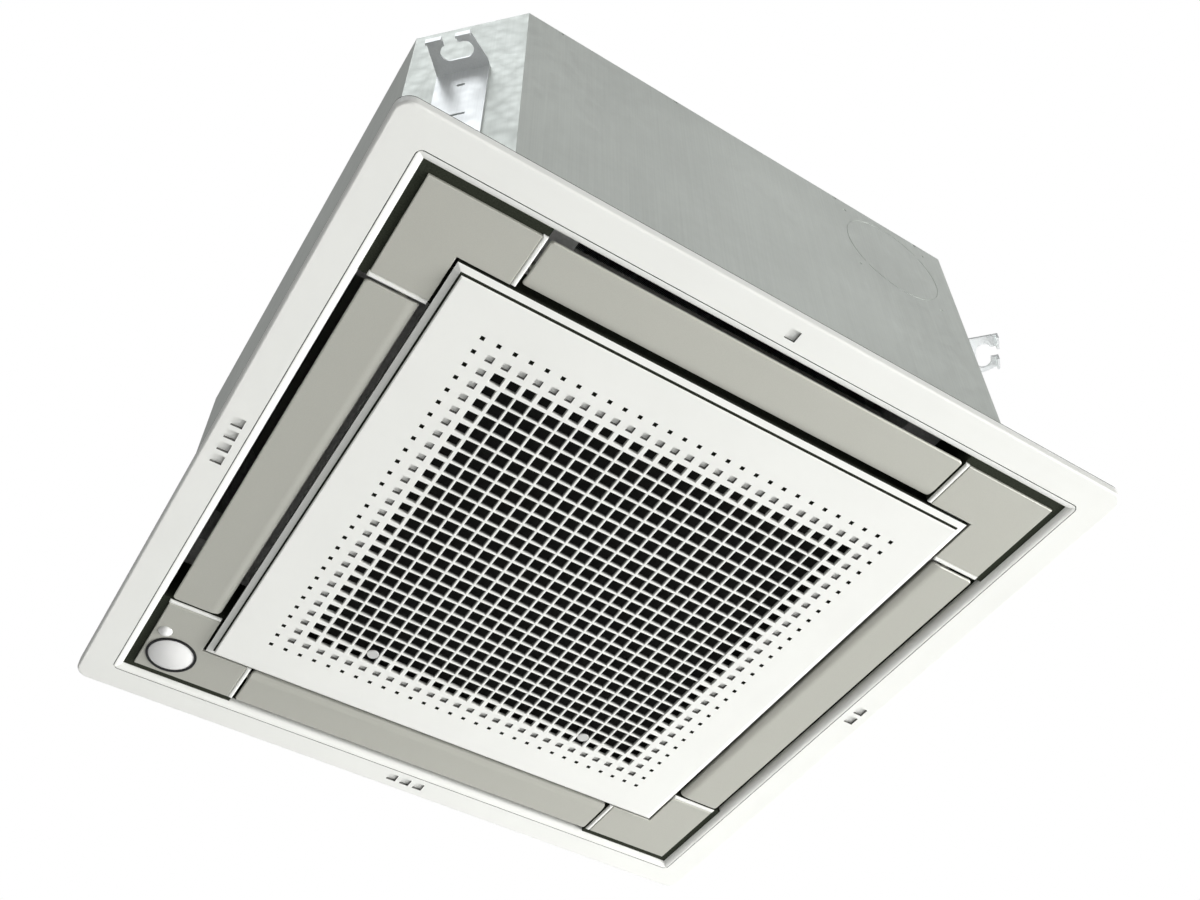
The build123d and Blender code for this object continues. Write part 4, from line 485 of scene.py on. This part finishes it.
def hole_cell(mesh, i, j, low, top):
    """One square of the plate round a small hole; by the knobs the hole is wider and open."""
    x, y, cell = i * HOLE_PITCH, j * HOLE_PITCH, HOLE_PITCH / 2
    edge = rectangle(x - cell, x + cell, y - cell, y + cell, low)
    at_knob = abs(i) == KNOB_COLUMN and j == EDGE_RING
    half = LATTICE_HOLE if at_knob else EDGE_HOLE
    y0 = y - cell if at_knob else y - half
    y0_rim = 0 if at_knob else HOLE_EDGE
    rim = HOLE_EDGE
    mouth = rectangle(x - half - rim, x + half + rim, y0 - y0_rim, y + EDGE_HOLE + rim, low)
    throat = rectangle(x - half, x + half, y0, y + EDGE_HOLE, low + rim)
    back = rectangle(x - half, x + half, y0, y + EDGE_HOLE, top)
    open_side = 0 if at_knob else None
    mesh.band(edge, mouth, open_side)
    mesh.band(mouth, throat, open_side)
    mesh.band(throat, back, open_side)


def pit_cell(mesh, i, j, low, half, foot):
    """One square of the plate round a blind pit."""
    x, y, cell = i * HOLE_PITCH, j * HOLE_PITCH, HOLE_PITCH / 2
    mouth = rectangle(x - half, x + half, y - half, y + half, low)
    floor = rectangle(x - foot, x + foot, y - foot, y + foot, low + PIT_DEEP)
    mesh.band(rectangle(x - cell, x + cell, y - cell, y + cell, low), mouth)
    mesh.band(mouth, floor)
    mesh.face(*floor)


def window_edge(mesh, low, top):
    """Narrow strip and inner wall round the lattice's window, open at the knobs."""
    inner = LAST_ROW * HOLE_PITCH + LATTICE_HOLE
    outer = (LAST_ROW + 0.5) * HOLE_PITCH
    steps = [k * HOLE_PITCH - outer for k in range(2 * LAST_ROW + 2)]
    knobs = [KNOB_COLUMN * HOLE_PITCH * side for side in (-1, 1)]
    ends = [(knob - LATTICE_HOLE, knob + LATTICE_HOLE) for knob in knobs]
    for quarter in range(4):
        at = turned(quarter)
        places = sorted(steps + [end for pair in ends for end in pair]) if quarter == 2 else steps
        for start, end in zip(places, places[1:]):
            if quarter == 2 and (start, end) in ends:
                continue
            a, b = max(start, -inner), min(end, inner)
            mesh.face(at(start, outer, low), at(end, outer, low), at(b, inner, low),
                      at(a, inner, low))
            mesh.face(at(a, inner, low), at(b, inner, low), at(b, inner, top), at(a, inner, top))


def bars(mesh, low, top, reach, along_x):
    """Parallel bars of the lattice with softened lower edges."""
    for k in range(-LAST_ROW, LAST_ROW):
        near = k * HOLE_PITCH + LATTICE_HOLE
        far = (k + 1) * HOLE_PITCH - LATTICE_HOLE
        profile = [(near, top), (near, low + BAR_SOFT), (near + BAR_SOFT, low),
                   (far - BAR_SOFT, low), (far, low + BAR_SOFT), (far, top)]
        loops = []
        for end in (-reach, reach):
            loops.append([(end, y, z) if along_x else (y, end, z) for y, z in profile])
        mesh.band(*loops)
        mesh.face(*loops[0])
        mesh.face(*loops[1])


def turned(quarter):
    """Places on one side of the grille: along it, out from the centre, and height."""
    turn = Matrix.Rotation(quarter * pi / 2, 3, "Z")

    def at(along, half, z):
        spot = turn @ Vector((along, -half, 0.0))
        return spot.x, spot.y, z

    return at


def plate_border(mesh, low, top):
    """Flat border of the plate, with a rounded outer edge and a rebate behind it."""
    grid_half = (DOT_RING + 0.5) * HOLE_PITCH
    steps = [k * HOLE_PITCH - grid_half for k in range(2 * DOT_RING + 2)]
    rounds = [(PLATE_HALF - PLATE_ROUND + PLATE_ROUND * cos(angle),
               low + PLATE_ROUND - PLATE_ROUND * sin(angle)) for angle in ROUND_ANGLES]
    inner = PLATE_HALF - EDGE_REBATE
    profile = [(grid_half, low)] + rounds + [(PLATE_HALF, low + EDGE_TALL),
                                             (inner, low + EDGE_TALL), (inner, top),
                                             (grid_half, top)]
    for quarter in range(4):
        at = turned(quarter)
        for (half_a, z_a), (half_b, z_b) in zip(profile, profile[1:]):
            for start, end in zip(steps, steps[1:]):
                mesh.face(at(start * half_a / grid_half, half_a, z_a),
                          at(start * half_b / grid_half, half_b, z_b),
                          at(end * half_b / grid_half, half_b, z_b),
                          at(end * half_a / grid_half, half_a, z_a))


def plate_materials(mesh, low):
    """Dark walls in the pits and dark dots, both painted shade, and walls of the holes with the
    bars' painted shade.
    """
    grid_half = (DOT_RING + 0.5) * HOLE_PITCH
    for face in mesh.data.faces:
        middle = face.calc_center_median() / MM
        place = max(abs(middle.x), abs(middle.y))
        ring = round(place / HOLE_PITCH)
        heights = [vertex.co.z / MM - low for vertex in face.verts]
        # the dots' walls and floors are painted dark: painted shade inside small holes
        if ring == DOT_RING and max(heights) > DEEP_FACE and place < grid_half:
            face.material_index = 2
        # the pits' walls are painted dark as their shade
        elif ring == PIT_RING and min(heights) < AT_FACE and max(heights) > DEEP_FACE:
            face.material_index = 1
        # upright walls of the holes take the lattice's painted shade, darker further behind the
        # face
        elif ring <= EDGE_RING and abs(face.normal.z) < UPRIGHT:
            face.material_index = 3


def grille_plate():
    """Face plate of the grille: smaller holes, pits and dots on one grid round the window."""
    mesh = Mesh()
    low, top = PLATE_LOW, PLATE_LOW + PLATE_THICK
    for i in range(-DOT_RING, DOT_RING + 1):
        for j in range(-DOT_RING, DOT_RING + 1):
            ring = max(abs(i), abs(j))
            if ring == EDGE_RING:
                hole_cell(mesh, i, j, low, top)
            elif ring == PIT_RING:
                pit_cell(mesh, i, j, low, PIT_HALF, PIT_FOOT * PIT_HALF)
            elif ring == DOT_RING:
                pit_cell(mesh, i, j, low, DOT_HALF, DOT_FOOT * DOT_HALF)
    window_edge(mesh, low, top)
    plate_border(mesh, low, top)
    bmesh.ops.recalc_face_normals(mesh.data, faces=mesh.data.faces)
    plate_materials(mesh, low)
    made = piece("grille_plate", mesh.data, "panel_white", "grille")
    for look in ("recess_painted_shade", "felt_and_painted_shade", "lattice_painted_shade"):
        made.data.materials.append(MATERIALS[look])
    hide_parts("grille_face", "grille_bars")


def grille_lattice():
    """The lattice's bars, which cross flush a little behind the plate's face."""
    lattice = Mesh()
    reach = LAST_ROW * HOLE_PITCH + LATTICE_HOLE + BAR_LAP
    front = PLATE_LOW + BAR_RECESS
    back = front + BAR_THICK
    bars(lattice, front, back, reach, True)
    bars(lattice, front + BAR_SHIFT, back, reach, False)
    bmesh.ops.recalc_face_normals(lattice.data, faces=lattice.data.faces)
    piece("grille_lattice", lattice.data, "panel_white", "grille", look="lattice_painted_shade")


def knob_cap(name, side, body):
    """Light grey cap over the round knob of a latch."""
    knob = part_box("grille_latch_" + side)
    middle_x = (knob[0].x + knob[1].x) / 2 / MM
    middle_y = knob[0].y / MM + KNOB_RADIUS - KNOB_PROUD
    low = knob[0].z / MM - KNOB_PROUD
    mesh = Mesh()
    angles = [2 * pi * k / KNOB_CORNERS for k in range(KNOB_CORNERS)]
    loops = []
    for inset, rise in KNOB_RINGS:
        radius = KNOB_RADIUS - inset
        loops.append([(middle_x + radius * cos(angle), middle_y + radius * sin(angle),
                       low + rise) for angle in angles])
    for outer, inner in zip(loops, loops[1:]):
        mesh.band(outer, inner)
    mesh.face(*loops[-1])
    bmesh.ops.recalc_face_normals(mesh.data, faces=mesh.data.faces)
    piece(name, mesh.data, "grey_plastic", body, look="knob_grey")


def skirt_shape(mesh):
    """Skirt a little narrower, with its outer wall and the gap under the face plate painted dark
    as shade.
    """
    for vertex in mesh.verts:
        if across(vertex.co) > SKIRT_EDGE:
            for axis in (0, 1):
                if abs(vertex.co[axis]) / MM > SKIRT_EDGE:
                    vertex.co[axis] *= SKIRT_DRAWN * MM / abs(vertex.co[axis])
    for face in mesh.faces:
        heights = [vertex.co.z / MM for vertex in face.verts]
        wall = min(across(vertex.co) for vertex in face.verts) > SKIRT_DRAWN - 0.1
        # the outer wall and the flat under the face plate take painted shade of the gaps
        if wall or max(heights) < SKIRT_FLAT:
            face.material_index = 1


dressed("grille_base", "grille", "panel_white", skirt_shape, ("felt_and_painted_shade",))
grille_plate()
grille_lattice()
knob_cap("left_knob_cap", "left", "left_latch")
knob_cap("right_knob_cap", "right", "right_latch")


# ---------------------------------------------------------------- stage, lights, camera
AMBIENT = 0.20                  # world's strength on the surfaces
MIRRORED = 0.37                 # and in their reflections
FLOOR_HEIGHT, FLOOR_SEEN_HEIGHT = -2.6, -2.59
FLOOR_HALF = 12.0


def plane(name, height, look):
    """Level square of the stage."""
    data = bmesh.new()
    bmesh.ops.create_grid(data, x_segments=1, y_segments=1, size=FLOOR_HALF)
    mesh = bpy.data.meshes.new(name)
    data.to_mesh(mesh)
    data.free()
    mesh.materials.append(look.material)
    made = bpy.data.objects.new(name, mesh)
    made.location.z = height
    bpy.context.scene.collection.objects.link(made)
    return made


def backdrop():
    """Plain pale floor far below, and a world that shows white behind the object.

    The floor that sends light up isn't the one that the camera sees: that one has an even tone
    of its own, because the lamps stand close over it, and it shows no shadow.
    """
    pale = Material("floor_pale", (0.9, 0.9, 0.9), 0.9, specular=0.0)
    pale.vary_color(pale.noise(3.0), 0.99, 1.01)
    plane("floor", FLOOR_HEIGHT, pale).visible_camera = False
    even = Material("floor_even", (0.02, 0.02, 0.02), 0.9, specular=0.0)
    even.vary_color(even.noise(3.0), 0.99, 1.01)
    even.shader.inputs["Emission Color"].default_value = (0.80, 0.80, 0.80, 1)
    even.shader.inputs["Emission Strength"].default_value = 1.0
    seen = plane("floor_seen", FLOOR_SEEN_HEIGHT, even)
    seen.visible_diffuse = False
    seen.visible_glossy = False
    seen.visible_transmission = False
    seen.visible_shadow = False

    world = bpy.data.worlds.new("studio")
    bpy.context.scene.world = world
    world.use_nodes = True
    tree = world.node_tree
    path = tree.nodes.new("ShaderNodeLightPath")
    shader = tree.nodes["Background"].outputs["Background"]
    tree.nodes["Background"].label = "ambient"
    tree.nodes["Background"].inputs["Color"].default_value = (0.98, 0.99, 1.0, 1)
    tree.nodes["Background"].inputs["Strength"].default_value = AMBIENT
    for label, strength, rays in (
        ("mirrored", MIRRORED, ("Is Glossy Ray", "Is Transmission Ray")),
        ("shown", 1.0, ("Is Camera Ray",)),
    ):
        light = tree.nodes.new("ShaderNodeBackground")
        light.label = label
        light.inputs["Color"].default_value = (1, 1, 1, 1)
        light.inputs["Strength"].default_value = strength
        for ray in rays:
            mix = tree.nodes.new("ShaderNodeMixShader")
            tree.links.new(path.outputs[ray], mix.inputs["Fac"])
            tree.links.new(shader, mix.inputs[1])
            tree.links.new(light.outputs["Background"], mix.inputs[2])
            shader = mix.outputs["Shader"]
    tree.links.new(shader, tree.nodes["World Output"].inputs["Surface"])


def lamp(name, place, size, power, aim=(0.0, 0.0, 0.0), diffuse=True, glossy=True,
         color=(1.0, 1.0, 1.0)):
    light = bpy.data.lights.new(name, "AREA")
    light.shape = "DISK"
    light.size = size
    light.energy = power
    light.color = color
    made = bpy.data.objects.new(name, light)
    made.location = place
    made.rotation_euler = (Vector(aim) - Vector(place)).to_track_quat("-Z", "Y").to_euler()
    made.visible_diffuse = diffuse
    made.visible_glossy = glossy
    bpy.context.scene.collection.objects.link(made)


def camera():
    """The photograph's viewpoint: from below, at the corner of the front and left sides."""
    azimuth, up, roll = radians(-32.404), radians(50.714), radians(-0.325)
    forward = Vector((-sin(azimuth) * cos(up), cos(azimuth) * cos(up), sin(up)))
    level = Vector((cos(azimuth), sin(azimuth), 0.0))
    upright = level.cross(forward)
    right = cos(roll) * level + sin(roll) * upright
    above = -sin(roll) * level + cos(roll) * upright
    view = bpy.data.cameras.new("camera")
    view.sensor_width = 36.0
    view.lens = 39.96
    made = bpy.data.objects.new("camera", view)
    turn = Matrix((right, above, -forward)).transposed().to_4x4()
    made.matrix_world = Matrix.Translation((-0.3934, -0.6654, -0.7726)) @ turn
    bpy.context.scene.collection.objects.link(made)
    bpy.context.scene.camera = made


backdrop()
lamp("key_right", (4.6, -1.0, -1.7), 1.6, 180.0)
lamp("key_front", (4.0, -2.8, -1.0), 1.6, 160.0)
lamp("front", (-0.3, -3.4, -0.35), 1.4, 7.0, aim=(0.0, 0.0, 0.1))
lamp("far", (1.2, 1.6, -1.2), 1.4, 21.5, glossy=False)
lamp("left", (-3.2, -0.3, -0.3), 1.4, 8.8, aim=(0.0, 0.0, 0.1))
lamp("top_left", (-1.0, -0.6, 2.0), 1.4, 8.0, aim=(0.0, 0.0, 0.2), diffuse=False,
     color=(0.94, 0.97, 1.0))
lamp("top_front", (0.7, -1.9, 1.7), 1.4, 3.2, aim=(0.0, 0.0, 0.2))
camera()
bpy.context.scene.view_settings.view_transform = "Standard"
